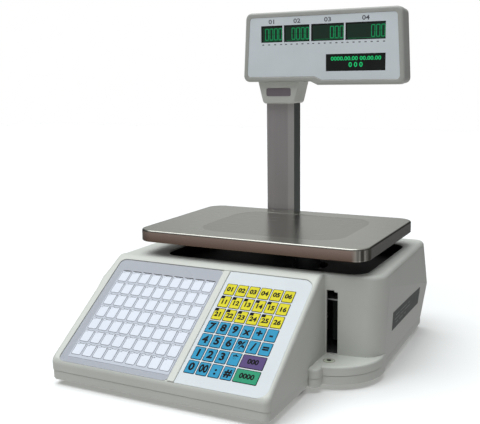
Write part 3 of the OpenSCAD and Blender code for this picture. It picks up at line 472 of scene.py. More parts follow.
# Hollow the form, leaving the well's tub under the platter
well_low = Vector((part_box("platter")[0].x + 0.036, bay_front + 0.0135))
well_high = Vector((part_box("platter_well")[1].x - shell, back - 0.045))
well_floor = deck - 0.020
hollow = housing_form("hollow", shell, 0.0)
combine(hollow, block("tub", well_low.x - shell, well_low.y - shell, well_floor - shell,
                      well_high.x + shell, well_high.y + shell, 0.2))
combine(body_form, hollow)


def flared(name, outline, floor, top, soften, steps=4):
    """A cutter whose walls turn outwards by soften where they meet the surface at top."""
    rings = [[(x, y, floor) for x, y in outline(0)]]
    for step in range(steps + 1):
        turn = math.pi / 2 * step / steps
        grow = soften * (1 - math.cos(turn))
        rings.append([(x, y, top - soften * (1 - math.sin(turn))) for x, y in outline(grow)])
    rings.append([(x, y, top + 0.004) for x, y in outline(soften + 0.0)])
    return loft(name, rings)


combine(body_form, flared("well", lambda grow: slab_outline(
    well_low.x, well_low.y, well_high.x, well_high.y, 0.022, grow), well_floor, deck, 0.004))

pocket_low, pocket_high = (-0.1835, -0.1935), (0.1180, -0.0095)
pocket_depth = 0.0018


def pocket_outline(grow):
    (x0, y0), (x1, y1) = pocket_low, pocket_high
    corners = [(x0 - grow, y0 - grow), (x1 + grow, y0 - grow), (x1 + grow, y1 + grow), (x0 - grow, y1 + grow)]
    return rounded(corners, [0.009 + grow, 0.015 + grow, 0.014 + grow, 0.009 + grow])


pocket = flared("pocket", pocket_outline, -pocket_depth, 0, 0.0009)
pocket.data.transform(ON_SLOPE)
combine(body_form, pocket)

# Black liner in the well under the platter
def well_skin(name, gap, base):
    return flared(name, lambda grow: slab_outline(well_low.x + gap, well_low.y + gap, well_high.x - gap,
                                                  well_high.y - gap, 0.021, grow), base, deck - 0.0012, 0.0026)


# Openings: label slot, spider's hole, column sleeve and the sockets at the rear
slot_left = bay_left + 0.0015
slot_bottom = ledge_top + 0.001
slot_steps = [(slot_left, slot_bottom), (slot_left + 0.015, slot_bottom), (slot_left + 0.015, slot_bottom + 0.0845),
              (slot_left + 0.0105, slot_bottom + 0.0845), (slot_left + 0.0105, slot_bottom + 0.087),
              (slot_left, slot_bottom + 0.087)]
combine(body_form, prism("slot", slot_steps, bay_front - 0.004, bay_front + 0.012, "Y"))
hub_x = 0.058
platter_low, platter_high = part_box("platter")
platter_middle = (platter_low + platter_high) / 2
liner = well_skin("well_liner", 0.0002, well_floor + 0.0001)
combine(liner, block("above_liner", -0.3, -0.3, deck - 0.0012, 0.3, 0.3, 0.2))
combine(liner, well_skin("liner_room", 0.0008, well_floor + 0.0007))
for part in (body_form, liner):
    combine(part, prism("hub_hole", arc(Vector((hub_x, platter_middle.y)), 0.026, 0, 348.75, 31),
                        well_floor - 0.01, well_floor + 0.01))
sleeve_wall = 0.005
sleeve = prism("sleeve", slab_outline(column_low.x - sleeve_wall, column_low.y - sleeve_wall,
                                      column_high.x + sleeve_wall, sleeve_back, 0.003, 0, 4),
               seam + 0.0002, high.z)
round_edges(sleeve, lambda m, a, b: m.z > high.z - 0.001 and sharp(a, b, 50), 0.0015, 3)
combine(body_form, sleeve, "UNION")
combine(body_form, block("sleeve_bore", column_low.x - 0.0004, column_low.y - 0.0004, column_low.z,
                         column_high.x + 0.0004, column_high.y + 0.0004, high.z + 0.01))
ports_low, ports_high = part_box("rear_plate")
combine(body_form, block("port_notch", ports_low.x - 0.0003, back - 0.006, seam - 0.001,
                         ports_high.x + 0.0003, back + 0.006, ports_high.z + 0.0003))
column_middle = (column_low.x + column_high.x) / 2
for height in (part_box("column_screws")[0].z + 0.0045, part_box("column_screws")[1].z - 0.0045):
    combine(body_form, prism("screw_bore", arc(Vector((column_middle, height)), 0.005, 0, 345, 23),
                             sleeve_back - 0.0045, sleeve_back + 0.002, "Y"))

# Door opening on the right
door_front, door_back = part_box("printer_door")[0].y + 0.005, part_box("printer_door")[1].y - 0.005
door_top = 0.1360
door_gap = 0.0004


def door_box(name, gap, bottom):
    return block(name, right_crease - 0.020, door_front - gap, bottom, right_crease + 0.02,
                 door_back + gap, door_top + gap)


combine(body_form, door_box("door_opening", door_gap, seam - 0.001))
smooth(body_form)
dress(body_form, grey_abs, "housing", "grey_plastic", "upper_housing")
liner_black = moulded("liner_black", (0.006, 0.006, 0.006), 0.6)
smooth(liner)
dress(liner, liner_black, "housing", "black_plastic", "platter_well")


# ---- Printer door: the side of the bay, hinged along its lower edge ----
# It follows the housing's own side wall and drops outwards to give room for a new label roll.
# A dark name plate with plain printed bars lies on its lower face.
def door_wall(y, height):
    """Outward place of the housing's right-hand wall."""
    run = max(0, min(1, (y + 0.039) / (back + 0.039)))
    foot, crease, brim = right_foot - 0.006 * run, right_crease - 0.0015 * run, right_deck - 0.0065 * run
    bend = crease_height(y)
    if height < bend:
        return foot + (crease - foot) * (height - seam) / (bend - seam)
    return crease + (brim - crease) * (height - bend) / (0.150 - bend)


door_sections = []
for step in range(25):
    y = door_front + (door_back - door_front) * step / 24
    bend = min(crease_height(y), door_top - 0.0005)
    heights = [seam + 0.0005 + (bend - seam - 0.0005) * k / 6 for k in range(7)]
    heights += [bend + (door_top - bend) * k / 3 for k in range(1, 4)]
    door_sections.append([(door_wall(y, z), y, z) for z in heights]
                         + [(door_wall(y, z) - shell, y, z) for z in reversed(heights)])
door_form = loft("printer_door_shell", door_sections)
plate_low, plate_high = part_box("name_plate")
plate_depth = 0.0003


def plate_sheet(name, y0, y1, z0, z1, out, thickness):
    """A curved sheet that follows the door's lower face."""
    bpy.ops.object.select_all(action="DESELECT")
    bpy.ops.mesh.primitive_grid_add(x_subdivisions=12, y_subdivisions=4, size=1)
    sheet = bpy.context.object
    sheet.name = sheet.data.name = name
    for vertex in sheet.data.vertices:
        y = y0 + (y1 - y0) * (vertex.co.x + 0.5)
        z = z0 + (z1 - z0) * (vertex.co.y + 0.5)
        vertex.co = (door_wall(y, z) + out, y, z)
    only(sheet)
    wall = sheet.modifiers.new("thick", "SOLIDIFY")
    wall.thickness, wall.offset = thickness, -1
    bpy.ops.object.modifier_apply(modifier="thick")
    return sheet


def join(name, pieces):
    only(pieces[0])
    for piece in pieces[1:]:
        piece.select_set(True)
    bpy.ops.object.join()
    pieces[0].name = pieces[0].data.name = name
    return pieces[0]


smooth(door_form, 8)
dress(door_form, grey_abs, "printer_door", "grey_plastic", "printer_door")

plate_film, place = finish("plate_film", Specular_IOR_Level=0.2)
shades(place, tint(74, 79, 77), 0.12, 60)
(0.42 + 0.1 * place.noise(300)).drive("Roughness")
plate = plate_sheet("name_plate_film", plate_low.y, plate_high.y, plate_low.z, plate_high.z, plate_depth, plate_depth)
smooth(plate)
dress(plate, plate_film, "printer_door", "plate_dark", "name_plate")
bars = []
for row, (start, lengths) in enumerate(((0.016, (0.012, 0.020, 0.009)), (0.010, (0.026, 0.014, 0.030)),
                                        (0.014, (0.018, 0.034, 0.010)))):
    y = plate_low.y + start
    for length in lengths:
        z = plate_low.z + 0.0065 + 0.0055 * row
        bars.append(plate_sheet("bar", y, y + length, z, z + 0.0018, plate_depth + 0.00006, 0.00012))
        y += length + 0.006
plate_print = moulded("plate_print", tint(116, 121, 119), 0.5, 0.00002)
dress(join("name_plate_bars", bars), plate_print, "printer_door", "plate_dark")


# ---- Lower housing: a shallow grey ABS tray ----
# It closes the upper housing from below along a fine parting line and carries the feet,
# the load cell's bracket and the printer. Its lower edge is rounded.
tray_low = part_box("lower_housing")[0]
tray_inset = 0.0005
tray_rings = [[(x, y, z) for x, y in housing_outline(right_foot, tray_inset + inward)]
              for z, inward in ((tray_low.z, 0.0028), (tray_low.z + 0.0008, 0.0009),
                                (tray_low.z + 0.0028, 0), (seam - 0.0004, 0), (seam - 0.0004, 0.0006))]
tray = loft("lower_housing_tray", tray_rings)
for outline in (ledge_outline, boss_outline):
    lip = prism("lip", outline(tray_inset), tray_low.z, seam - 0.0004)
    round_edges(lip, lambda m, a, b: m.x > bay_left - 0.01 and m.z < tray_low.z + 0.001
                and sharp(a, b, 50), 0.0022, 3)
    combine(tray, lip, "UNION")
tray_hollow = prism("tray_hollow", housing_outline(right_foot, shell), tray_low.z + shell, seam + 0.01)
combine(tray, tray_hollow)
foot_nodes = ("foot_front_left", "foot_front_right", "foot_rear_left", "foot_rear_right")
foot_places = []
for node in foot_nodes:
    foot_low, foot_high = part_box(node)
    foot_places.append(((foot_low + foot_high) / 2).xy)
for spot in foot_places:
    combine(tray, prism("stud_hole", arc(spot, 0.0046, 0, 345, 23), tray_low.z - 0.01, seam))
smooth(tray)
dress(tray, grey_abs, "housing", "grey_plastic", "lower_housing")

# ---- Levelling feet: black rubber pads on threaded studs ----
# Each pad is turned with a waisted rim and grip flutes; the stud screws up into the tray.
rubber, place = finish("black_rubber", Specular_IOR_Level=0.35)
shades(place, (0.014, 0.014, 0.014), 0.3, 90)
(0.62 + 0.2 * place.noise(600)).drive("Roughness")
place.noise(2500, 2).relief(0.3, 0.00008)


def turned(name, centre, profile, steps=48):
    """A solid turned about a vertical axis through centre; profile lists radius, height."""
    rings = [[(centre.x + radius * math.cos(2 * math.pi * k / steps),
               centre.y + radius * math.sin(2 * math.pi * k / steps), height) for k in range(steps)]
             for radius, height in profile]
    return loft(name, rings)


for node, spot in zip(foot_nodes, foot_places):
    foot_low, foot_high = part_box(node)
    pad = turned(node + "_pad", spot, [
        (0.0115, foot_low.z), (0.0124, foot_low.z + 0.0004), (0.0130, foot_low.z + 0.0012),
        (0.0130, foot_low.z + 0.0026), (0.0120, foot_low.z + 0.0034), (0.0120, foot_low.z + 0.0046),
        (0.0126, foot_low.z + 0.0056), (0.0120, foot_low.z + 0.0064), (0.0040, foot_low.z + 0.0066),
        (0.0040, foot_high.z - 0.0006), (0.0034, foot_high.z)])
    smooth(pad, 40)
    dress(pad, rubber, node, "rubber", node)

# ---- Bubble level and seal screw on the ledge ----
# The level is a turned ring pressed flush into the ledge round a domed vial of pale green spirit.
# The brass seal screw sits in the boss; a slit runs down the boss beside it.
level_low, level_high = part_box("level_ring")
level_spot = ((level_low + level_high) / 2).xy
level_ring = turned("level_bezel", level_spot, [
    (0.0062, ledge_top - 0.004), (0.0084, ledge_top - 0.004), (0.0084, ledge_top - 0.0002),
    (0.0080, ledge_top + 0.0005), (0.0072, ledge_top + 0.0007), (0.0065, ledge_top + 0.0003),
    (0.0063, ledge_top - 0.0006)])
smooth(level_ring, 40)
level_plastic = moulded("level_plastic", tint(170, 172, 158), 0.3)
dress(level_ring, level_plastic, "housing", "level_beige", "level_ring")
spirit, place = finish("level_spirit", IOR=1.45, Coat_Weight=0.6)
shades(place, tint(196, 205, 184), 0.04, 200)
(0.08 + 0.05 * place.noise(200)).drive("Roughness")
vial = turned("level_dome", level_spot, [
    (0.0061, ledge_top - 0.003), (0.0062, ledge_top - 0.0008), (0.0056, ledge_top + 0.0001),
    (0.0040, ledge_top + 0.0006), (0.0020, ledge_top + 0.0008), (0.0004, ledge_top + 0.0008)])
smooth(vial, 60)
dress(vial, spirit, "housing", "vial", "level_vial")
vial_ring = turned("level_circle", level_spot, [
    (0.0027, ledge_top + 0.0005), (0.0031, ledge_top + 0.0005), (0.0031, ledge_top + 0.00085),
    (0.0027, ledge_top + 0.00092)])
ink, place = finish("black_ink", Specular_IOR_Level=0.05)
shades(place, (0.006, 0.006, 0.007), 0.3, 200)
(0.35 + 0.1 * place.noise(400)).drive("Roughness")
only(vial_ring)
dress(vial_ring, ink, "housing", "black_plastic")


# ---- Preset keypad: a printed card under clear film, left of the divider strip ----
# The film lies in the pocket over a grey backing; the card carries nine by seven blank keys
# with outlined faces and small tabs, and it can be changed.
film_grey = moulded("film_grey", tint(150, 154, 164), 0.22, 0.00002)
card_white = moulded("card_white", tint(214, 220, 232), 0.35, 0.00002)
card_base = moulded("card_base", tint(182, 188, 200), 0.35, 0.00002)
outline_grey = moulded("outline_grey", tint(122, 124, 132), 0.4, 0.00002)
strip_left, strip_right = (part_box("divider_strip")[k].x for k in (0, 1))
field_low, field_high = pocket_low[1] + 0.0004, pocket_high[1] - 0.0004
bed = -pocket_depth


def on_slope(piece):
    piece.data.transform(ON_SLOPE)
    return piece


def pad(name, x0, y0, x1, y1, radius, floor, top, edge=0.0):
    """A flat pad with rounded corners and, where edge is given, a chamfered rim."""
    levels = [(floor, 0.0), (top - edge, 0.0), (top, -edge)] if edge else [(floor, 0.0), (top, 0.0)]
    return loft(name, [[(x, y, z) for x, y in slab_outline(x0, y0, x1, y1, radius, grow, 3)]
                       for z, grow in levels])


def repeat(piece, count, step):
    only(piece)
    row = piece.modifiers.new("row", "ARRAY")
    row.count, row.use_relative_offset, row.use_constant_offset = count, False, True
    row.constant_offset_displace = step
    bpy.ops.object.modifier_apply(modifier="row")
    return piece


film = pad("preset_film_sheet", pocket_low[0] + 0.0004, field_low, strip_left, field_high, 0.007, bed, bed + 0.0006)
dress(on_slope(film), film_grey, "housing", "film", "preset_film", "keypad_membrane")

card_left, card_right, card_top, card_foot = -0.1715, -0.0165, -0.0310, -0.1845
card = pad("preset_card_sheet", card_left, card_foot, card_right, card_top, 0.001, bed + 0.0006, bed + 0.0009)
dress(on_slope(card), card_base, "housing", "card", "preset_card")

columns, rows = 9, 7
step_x, step_y = (card_right - card_left - 0.001) / columns, (card_top - card_foot - 0.002) / rows
key_w, key_h = step_x - 0.0022, step_y - 0.0032
key_x, key_y = card_left + 0.0016, card_top - 0.0012 - key_h
card_face = bed + 0.0009
outlines, faces = [], []
for x0, y0, x1, y1, radius in ((0, 0, key_w, key_h, 0.0022), (-0.0006, key_h - 0.0030, 0.0052, key_h + 0.0012, 0.0008),
                               (key_w - 0.0044, key_h - 0.0016, key_w + 0.0006, key_h + 0.0010, 0.0008)):
    line = 0.0008
    outlines.append(pad("outline", key_x + x0, key_y + y0, key_x + x1, key_y + y1, radius, card_face,
                        card_face + 0.00012))
    faces.append(pad("face", key_x + x0 + line, key_y + y0 + line, key_x + x1 - line, key_y + y1 - line,
                     radius - 0.0004, card_face, card_face + 0.00022))
for name, parts, material in (("preset_key_outlines", outlines, outline_grey),
                              ("preset_key_faces", faces, card_white)):
    keys = join(name, parts)
    repeat(keys, columns, (step_x, 0, 0))
    repeat(keys, rows, (0, -step_y, 0))
    dress(on_slope(keys), material, "housing", "card")
marks = repeat(pad("card_edge_marks", card_left + 0.002, card_top - 0.0002, card_left + 0.0155, card_top + 0.0008,
                   0.0003, bed + 0.0006, bed + 0.0011), 9, (step_x, 0, 0))
dress(on_slope(marks), ink, "housing", "card")

# ---- Divider strip: a grey moulding between the keypads ----
# It is snapped into the pocket over the edges of both films, and its long edges are rounded.
strip = prism("divider_moulding", slab_outline(strip_left, field_low, strip_right, field_high, 0.0008, 0, 3),
              bed, bed + 0.0022)
round_edges(strip, lambda m, a, b: m.z > bed + 0.002 and sharp(a, b, 50), 0.0009, 3)
on_slope(strip)
smooth(strip)
dress(strip, grey_abs, "housing", "grey_plastic", "divider_strip")

# ---- Function keypad: glossy white film with embossed coloured keys ----
# Six columns by seven rows are printed in yellow, blue, purple and green inside black lines,
# with plain figures and signs for legends. The film is one sheet over the key switches.
overlay_white, place = finish("overlay_white", Specular_IOR_Level=0.25)
shades(place, tint(206, 212, 216), 0.015, 30)
(0.25 + 0.08 * place.noise(120)).drive("Roughness")
place.noise(900, 2).relief(0.12, 0.00003)
overlay = prism("function_film", rounded(
    [(strip_right, field_low), (pocket_high[0] - 0.0004, field_low), (pocket_high[0] - 0.0004, field_high),
     (strip_right, field_high)], [0.0005, 0.0146, 0.0136, 0.0005]), bed, bed + 0.0008)
dress(on_slope(overlay), overlay_white, "housing", "overlay", "function_overlay")
film_face = bed + 0.0008
pitch_x, pitch_y = 0.01675, 0.0211
keys_left, keys_top = 0.0008, -0.0312
cell_w, cell_h = 0.0152, 0.0194
black_line = 0.0008
key_inks = {"yellow": tint(216, 206, 6), "blue": tint(24, 142, 184), "purple": tint(78, 58, 112),
            "green": tint(20, 142, 104)}
key_rows = [["yellow"] * 6] * 3 + [["blue"] * 6] * 2 + [["blue"] * 4 + ["purple"]] + [["blue"] * 4 + ["green"]]
legends = [["01", "02", "03", "04", "05", "06"], ["11", "12", "13", "14", "15", "16"],
           ["21", "22", "23", "24", "25", "26"], ["7", "8", "9", "x", "+", "-"],
           ["4", "5", "6", "%", "/", "="], ["1", "2", "3", "*", "000"], ["0", "00", ":", "#", "0000"]]


def lettering(text, centre, size, height, stretch=1.0, weight=0.02):
    """Figures as a thin mesh, centred on a point of the film."""
    bpy.ops.object.select_all(action="DESELECT")
    bpy.ops.object.text_add(location=(0, 0, 0))
    words = bpy.context.object
    words.data.body = text
    words.data.align_x, words.data.align_y = "CENTER", "CENTER"
    words.data.size, words.data.extrude, words.data.offset = size, 0.00003, size * weight
    words.data.resolution_u = 3
    only(words)
    bpy.ops.object.convert(target="MESH")
    words = bpy.context.object
    words.data.transform(Matrix.Translation((*centre, height)) @ Matrix.Diagonal((stretch, 1, 1, 1)))
    return words


frames, colour_pads, words = [], {name: [] for name in key_inks}, []
for row, inks in enumerate(key_rows):
    for column, name in enumerate(inks):
        wide = pitch_x if name in ("purple", "green") else 0
        x0, y1 = keys_left + column * pitch_x, keys_top - row * pitch_y
        x1, y0 = x0 + cell_w + wide, y1 - cell_h
        frames.append(pad("frame", x0, y0, x1, y1, 0.0014, film_face, film_face + 0.0002))
        colour_pads[name].append(pad("key", x0 + black_line, y0 + black_line, x1 - black_line, y1 - black_line,
                                     0.0010, film_face, film_face + 0.00042, 0.00015))
        size = 0.0150 if row > 2 and wide == 0 else 0.0098
        middle = ((x0 + x1) / 2, (y0 + y1) / 2 - (0.0008 if row in (1, 2) else 0))
        words.append(lettering(legends[row][column], middle, size, film_face + 0.00045,
                               0.78 if legends[row][column] == "00" else 1, 0.045))
        if row in (1, 2) and column < 5:
            words.append(pad("corner", x0 + 0.0008, y1 - 0.0050, x0 + 0.0058, y1 - 0.0008, 0.0003,
                             film_face, film_face + 0.00047))
dress(on_slope(join("function_key_lines", frames)), ink, "housing", "overlay")
for name, pads in colour_pads.items():
    material, place = finish("key_" + name, Specular_IOR_Level=0.15)
    shades(place, key_inks[name], 0.04, 60)
    (0.25 + 0.08 * place.noise(160)).drive("Roughness")
    dress(on_slope(join("function_keys_" + name, pads)), material, "housing", "overlay")
dress(on_slope(join("function_legends", words)), ink, "housing", "overlay")

# ---- Platter: one pressed sheet of satin stainless steel ----
# Its skirt is drawn down all round with tight upper edges and wide corners, and a faint
# rounded panel is pressed into the top. It lies loose on the spider's four rubber pads.
steel_top, steel_foot = platter_high.z, platter_low.z
edge_radius = 0.0026
panel_step = 0.0004


def platter_outline(inset):
    return slab_outline(platter_low.x, platter_low.y, platter_high.x, platter_high.y, 0.025, -inset, 10)


def panel_outline(inset):
    return slab_outline(-0.092, -0.024, 0.1295, 0.148, 0.040, -inset, 10)


sheet_rings = [(platter_outline(0.0004), steel_foot), (platter_outline(0), steel_foot + 0.0006),
               (platter_outline(0), steel_top - edge_radius)]
for k in range(1, 7):
    turn = math.pi / 2 * k / 6
    sheet_rings.append((platter_outline(edge_radius * (1 - math.cos(turn))),
                        steel_top - edge_radius * (1 - math.sin(turn))))
sheet_rings += [(platter_outline(edge_radius + 0.0006), steel_top), (panel_outline(-0.0022), steel_top),
                (panel_outline(-0.0012), steel_top), (panel_outline(0), steel_top - panel_step),
                (panel_outline(0.0012), steel_top - panel_step)]
sheet = loft("platter_sheet", [[(x, y, z) for x, y in outline] for outline, z in sheet_rings])
only(sheet)
bpy.ops.object.mode_set(mode="EDIT")
bpy.ops.mesh.select_mode(type="FACE")
bpy.ops.mesh.select_all(action="DESELECT")
mesh = bmesh.from_edit_mesh(sheet.data)
for face in mesh.faces:
    face.select_set(face.normal.z < -0.9)
bpy.ops.mesh.delete(type="FACE")
bpy.ops.object.mode_set(mode="OBJECT")
gauge = sheet.modifiers.new("gauge", "SOLIDIFY")
gauge.thickness, gauge.offset = 0.0012, -1
bpy.ops.object.modifier_apply(modifier="gauge")
smooth(sheet, 18)
stainless, place = finish("stainless", Metallic=1.0)
height = place.axis(2)
rub = place.noise(500, 4, (0.03, 1, 1)).contrast(0.3, 0.7)
# Streaky pattern for the painted highlight at the skirt's front right corner.
highlight_streaks = place.noise(160, 3, (1, 1, 0.02)).contrast(0.35, 0.65)
top = height.contrast(steel_top - 0.0006, steel_top - 0.0002)
# Where the skirt faces the front; it takes a painted reflection.
front_reflection_mask = (place.axis(1) * -1).contrast(-platter_low.y - 0.010, -platter_low.y - 0.002)
# The skirt's front right corner, where a painted highlight goes.
corner_highlight_mask = (place.axis(0).contrast(platter_high.x - 0.020, platter_high.x - 0.012)
             * (place.axis(1) * -1).contrast(-platter_low.y - 0.020, -platter_low.y - 0.010))
# Painted shade on the skirt's other sides, darker towards the foot.
skirt_painted_shade = height.contrast(steel_foot, steel_top).between(tint(62, 60, 52), tint(84, 83, 76))
# Painted reflection on the front of the skirt, brownish and lighter upwards.
front_painted_reflection = height.contrast(steel_foot, steel_top - 0.004).between(tint(120, 100, 88), tint(170, 150, 140))
# Painted highlight at the front right corner, in streaks.
corner_painted_highlight = highlight_streaks.between(tint(90, 88, 82), tint(215, 212, 204))
# The whole skirt is painted light rather than the steel's own colour; a mid grey band of painted shade on the rounded
# top edge tones down its highlight. The top keeps the steel's own rubbed colour.
skirt_painted_light = height.contrast(steel_top - 0.0030, steel_top - 0.0018).between(
    corner_highlight_mask.between(front_reflection_mask.between(skirt_painted_shade, front_painted_reflection), corner_painted_highlight), tint(150, 148, 142))
top_steel = rub.between(tint(188, 190, 180), tint(200, 202, 192))
top.between(skirt_painted_light, top_steel).drive("Base Color")
(0.17 + 0.08 * rub + 0.06 * place.noise(9)).drive("Roughness")
rub.relief(0.05, 0.00002)
dress(sheet, stainless, "platter", "stainless", "platter")

# ---- Column: a rectangular tube of matt anodised aluminium ----
# It stands in the sleeve at the back of the housing, held by two screws from behind, and carries
# the display's cable up inside.
anodised, place = finish("anodised", Metallic=0.55)
grain = place.noise(700, 3, (1, 1, 0.02)).contrast(0.3, 0.7)
streak = place.noise(26, 2, (1, 1, 0.1)).contrast(0.3, 0.7)
# The right-hand side face is painted a dark green-grey as painted shade. From about 12 mm in from that side, the front
# is coloured lighter.
side_shade_mask = place.axis(0).contrast(column_high.x - 0.0012, column_high.x - 0.0008)
at_edge = place.axis(0).contrast(column_high.x - 0.0125, column_high.x - 0.0115)
front_metal = (0.5 * grain + 0.5 * streak).between(tint(166, 161, 163), tint(176, 170, 172))
side_shade_mask.between(at_edge.between(front_metal, tint(186, 182, 182)), tint(104, 110, 107)).drive("Base Color")
(0.40 + 0.10 * grain).drive("Roughness")
grain.relief(0.1, 0.00003)
post = prism("column_tube", slab_outline(column_low.x, column_low.y, column_high.x, column_high.y, 0.0016, 0, 4),
             column_low.z, column_high.z)
post_bore = prism("bore", slab_outline(column_low.x + 0.002, column_low.y + 0.002, column_high.x - 0.002,
                                       column_high.y - 0.002, 0.001, 0, 3), column_low.z - 0.01, column_high.z + 0.01)
combine(post, post_bore)
smooth(post)
dress(post, anodised, "housing", "anodised", "column")

# ---- Neck: two grey shells that clamp the top of the column ----
# The front shell tapers to the column, with a mauve inlay in a shallow recess and, above it,
# the curved tongue of the head's lower edge.
neck_low, neck_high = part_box("neck_front_shell")[0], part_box("neck_rear_shell")[1]
neck_middle = (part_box("neck_front_shell")[1].y)
neck_top_half, neck_foot_half = (neck_high.x - neck_low.x) / 2, 0.0275


def neck_outline(shrink):
    x, z0, z1 = column_middle, neck_low.z + shrink, neck_high.z
    return rounded([(x - neck_foot_half + shrink, z0), (x + neck_foot_half - shrink, z0),
                    (x + neck_top_half - shrink, z1), (x - neck_top_half + shrink, z1)],
                   [0.006, 0.006, 0.0005, 0.0005])


plate_low, plate_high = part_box("neck_plate")
for name, y_face, y_back, node in (("neck_front_cover", neck_low.y, neck_middle - 0.0001, "neck_front_shell"),
                                   ("neck_rear_cover", neck_high.y, neck_middle + 0.0001, "neck_rear_shell")):
    turn_in = 0.0020 if y_face < y_back else -0.0020
    rings = [[(x, y_face + turn_in * depth, z) for x, z in neck_outline(0.0020 * shrink)]
             for depth, shrink in ((0, 1.0), (0.13, 0.5), (0.5, 0.13), (1.0, 0))]
    rings.append([(x, y_back, z) for x, z in neck_outline(0)])
    cover = loft(name, rings)
    combine(cover, block("post_room", column_low.x - 0.0002, column_low.y - 0.0002, neck_low.z - 0.01,
                         column_high.x + 0.0002, column_high.y + 0.0002, column_high.z))
    if node == "neck_front_shell":
        combine(cover, prism("inlay_recess", slab_outline(plate_low.x, plate_low.z, plate_high.x, plate_high.z,
                                                          0.0028, 0.0003), neck_low.y - 0.01, neck_low.y + 0.0012, "Y"))
    smooth(cover)
    dress(cover, grey_abs, "housing", "grey_plastic", node)

mauve = moulded("mauve_inlay", tint(128, 120, 126), 0.35)
inlay = prism("neck_inlay", slab_outline(plate_low.x, plate_low.z, plate_high.x, plate_high.z, 0.0026),
              neck_low.y + 0.0006, neck_low.y + 0.0012, "Y")
dress(inlay, mauve, "housing", "plate_mauve", "neck_plate")
tongue_half, tongue_drop = 0.0315, 0.0095
tongue_radius = (tongue_half ** 2 + tongue_drop ** 2) / (2 * tongue_drop)
tongue_reach = math.degrees(math.asin(tongue_half / tongue_radius))
tongue_centre = Vector((column_middle, neck_high.z - tongue_drop + tongue_radius))
tongue = prism("head_tongue", arc(tongue_centre, tongue_radius, 270 - tongue_reach, 270 + tongue_reach, 20),
               neck_low.y - 0.0014, neck_low.y + 0.001, "Y")
round_edges(tongue, lambda m, a, b: m.y < neck_low.y - 0.001 and sharp(a, b, 50), 0.0006, 2)
smooth(tongue)
dress(tongue, grey_abs, "housing", "grey_plastic")

# ---- Display head: two deep grey ABS shells screwed together from behind ----
# The head widens downwards and its lower edge steps up on the left. Each face has a wide
# rounded rim round a sunk panel, and a fine line marks the joint of the two shells.
face_low, face_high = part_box("head_front_shell")
rear_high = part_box("head_rear_shell")[1]
side_lean = 0.006
step_left, step_right = face_low.x + 0.117, face_low.x + 0.129
step_up = 0.0055


def head_outline(shrink):
    x0, x1, z0, z1 = face_low.x + shrink, face_high.x - shrink, face_low.z + shrink, face_high.z - shrink
    return rounded([(x0, z0 + step_up), (step_left + shrink, z0 + step_up), (step_right + shrink, z0), (x1, z0),
                    (x1 - side_lean, z1), (x0 + side_lean, z1)],
                   [0.010 - min(shrink, 0.004), 0.006, 0.006] + [0.010 - min(shrink, 0.004)] * 3)


def head_shell(name, y_face, y_back, edge, narrow):
    """One shell, with a quarter-round rim of radius edge at its face and a sunk panel bed."""
    inward = 1 if y_back > y_face else -1
    steps = [(0.0020, 0.0079)]
    for k in range(5):
        turn = math.pi / 2 * k / 4
        steps.append((0.0014 * (1 - math.sin(turn)), 0.0079 - 0.0014 * (1 - math.cos(turn))))
    for k in range(5, -1, -1):
        turn = math.pi / 2 * k / 5
        steps.append((edge * (1 - math.sin(turn)), narrow + edge * (1 - math.cos(turn))))
    steps.append((abs(y_back - y_face), narrow))
    return loft(name, [[(x, y_face + inward * depth, z) for x, z in head_outline(shrink)] for depth, shrink in steps])


front_face, joint, rear_face = face_low.y, face_high.y, rear_high.y
front_shell = head_shell("head_front_cover", front_face, joint - 0.0002, 0.0036, 0.0)
rear_shell = head_shell("head_rear_cover", rear_face, joint + 0.0002, 0.0045, 0.0012)
# The head's shells take a darker copy of the housing's grey plastic, as painted shade.
head_grey = moulded("head_grey", tint(180, 182, 177))
for shell_piece, node in ((front_shell, "head_front_shell"), (rear_shell, "head_rear_shell")):
    smooth(shell_piece)
    dress(shell_piece, head_grey, "housing", "grey_plastic", node)

# Panels: printed polycarbonate, pale blue-grey, fixed in the beds by their adhesive
panel_blue = moulded("panel_blue", tint(232, 240, 246), 0.32, 0.00003)
window_glass, place = finish("window_glass", IOR=1.45, Coat_Weight=0.6, Coat_Roughness=0.1)
shades(place, (0.0035, 0.007, 0.005), 0.3, 40)
(0.15 + 0.1 * place.noise(80)).drive("Roughness")
for nodes, material in ((("front_panel", "rear_panel"), panel_blue), (("front_windows", "rear_windows"), window_glass)):
    for node in nodes:
        frame["nodes"][node].material_slots[0].material = material

# ---- Display figures: green vacuum-fluorescent segments behind the smoked windows ----
# Four upper windows hold upright seven-segment figures ranged right, with a fine base line;
# the lower window holds a line of small figures and a short second line.
lit, place = finish("lit_segments", Emission_Strength=0.8)
glow = place.noise(900, 2).contrast(0.3, 0.7)
glow.between((0.0, 0.20, 0.06), (0.0, 0.30, 0.10)).drive("Emission Color")
glow.between((0.0, 0.10, 0.03), (0.0, 0.16, 0.05)).drive("Base Color")
(0.4 + 0.1 * glow).drive("Roughness")
# The screens behind the figures have a faint painted green glow; nothing lights them.
dim, place = finish("dim_screen", Emission_Strength=0.07, Coat_Weight=0.5, Coat_Roughness=0.1)
screen_painted_glow = place.noise(1400, 2).contrast(0.3, 0.7)
screen_painted_glow.between((0.0, 0.07, 0.03), (0.0, 0.11, 0.05)).drive("Emission Color")
screen_painted_glow.between((0.002, 0.016, 0.008), (0.003, 0.022, 0.011)).drive("Base Color")
(0.3 + 0.1 * screen_painted_glow).drive("Roughness")
window_low, window_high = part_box("front_windows")
window_top, window_foot = window_high.z, window_high.z - 0.026
spans = [(0.0273, 0.0647), (0.0671, 0.1107), (0.1133, 0.1670), (0.1694, 0.2325)]
span_start = face_low.x + side_lean
counts = (4, 4, 3, 3)
figure_w, figure_h, figure_step, bar = 0.0052, 0.0172, 0.0078, 0.0011


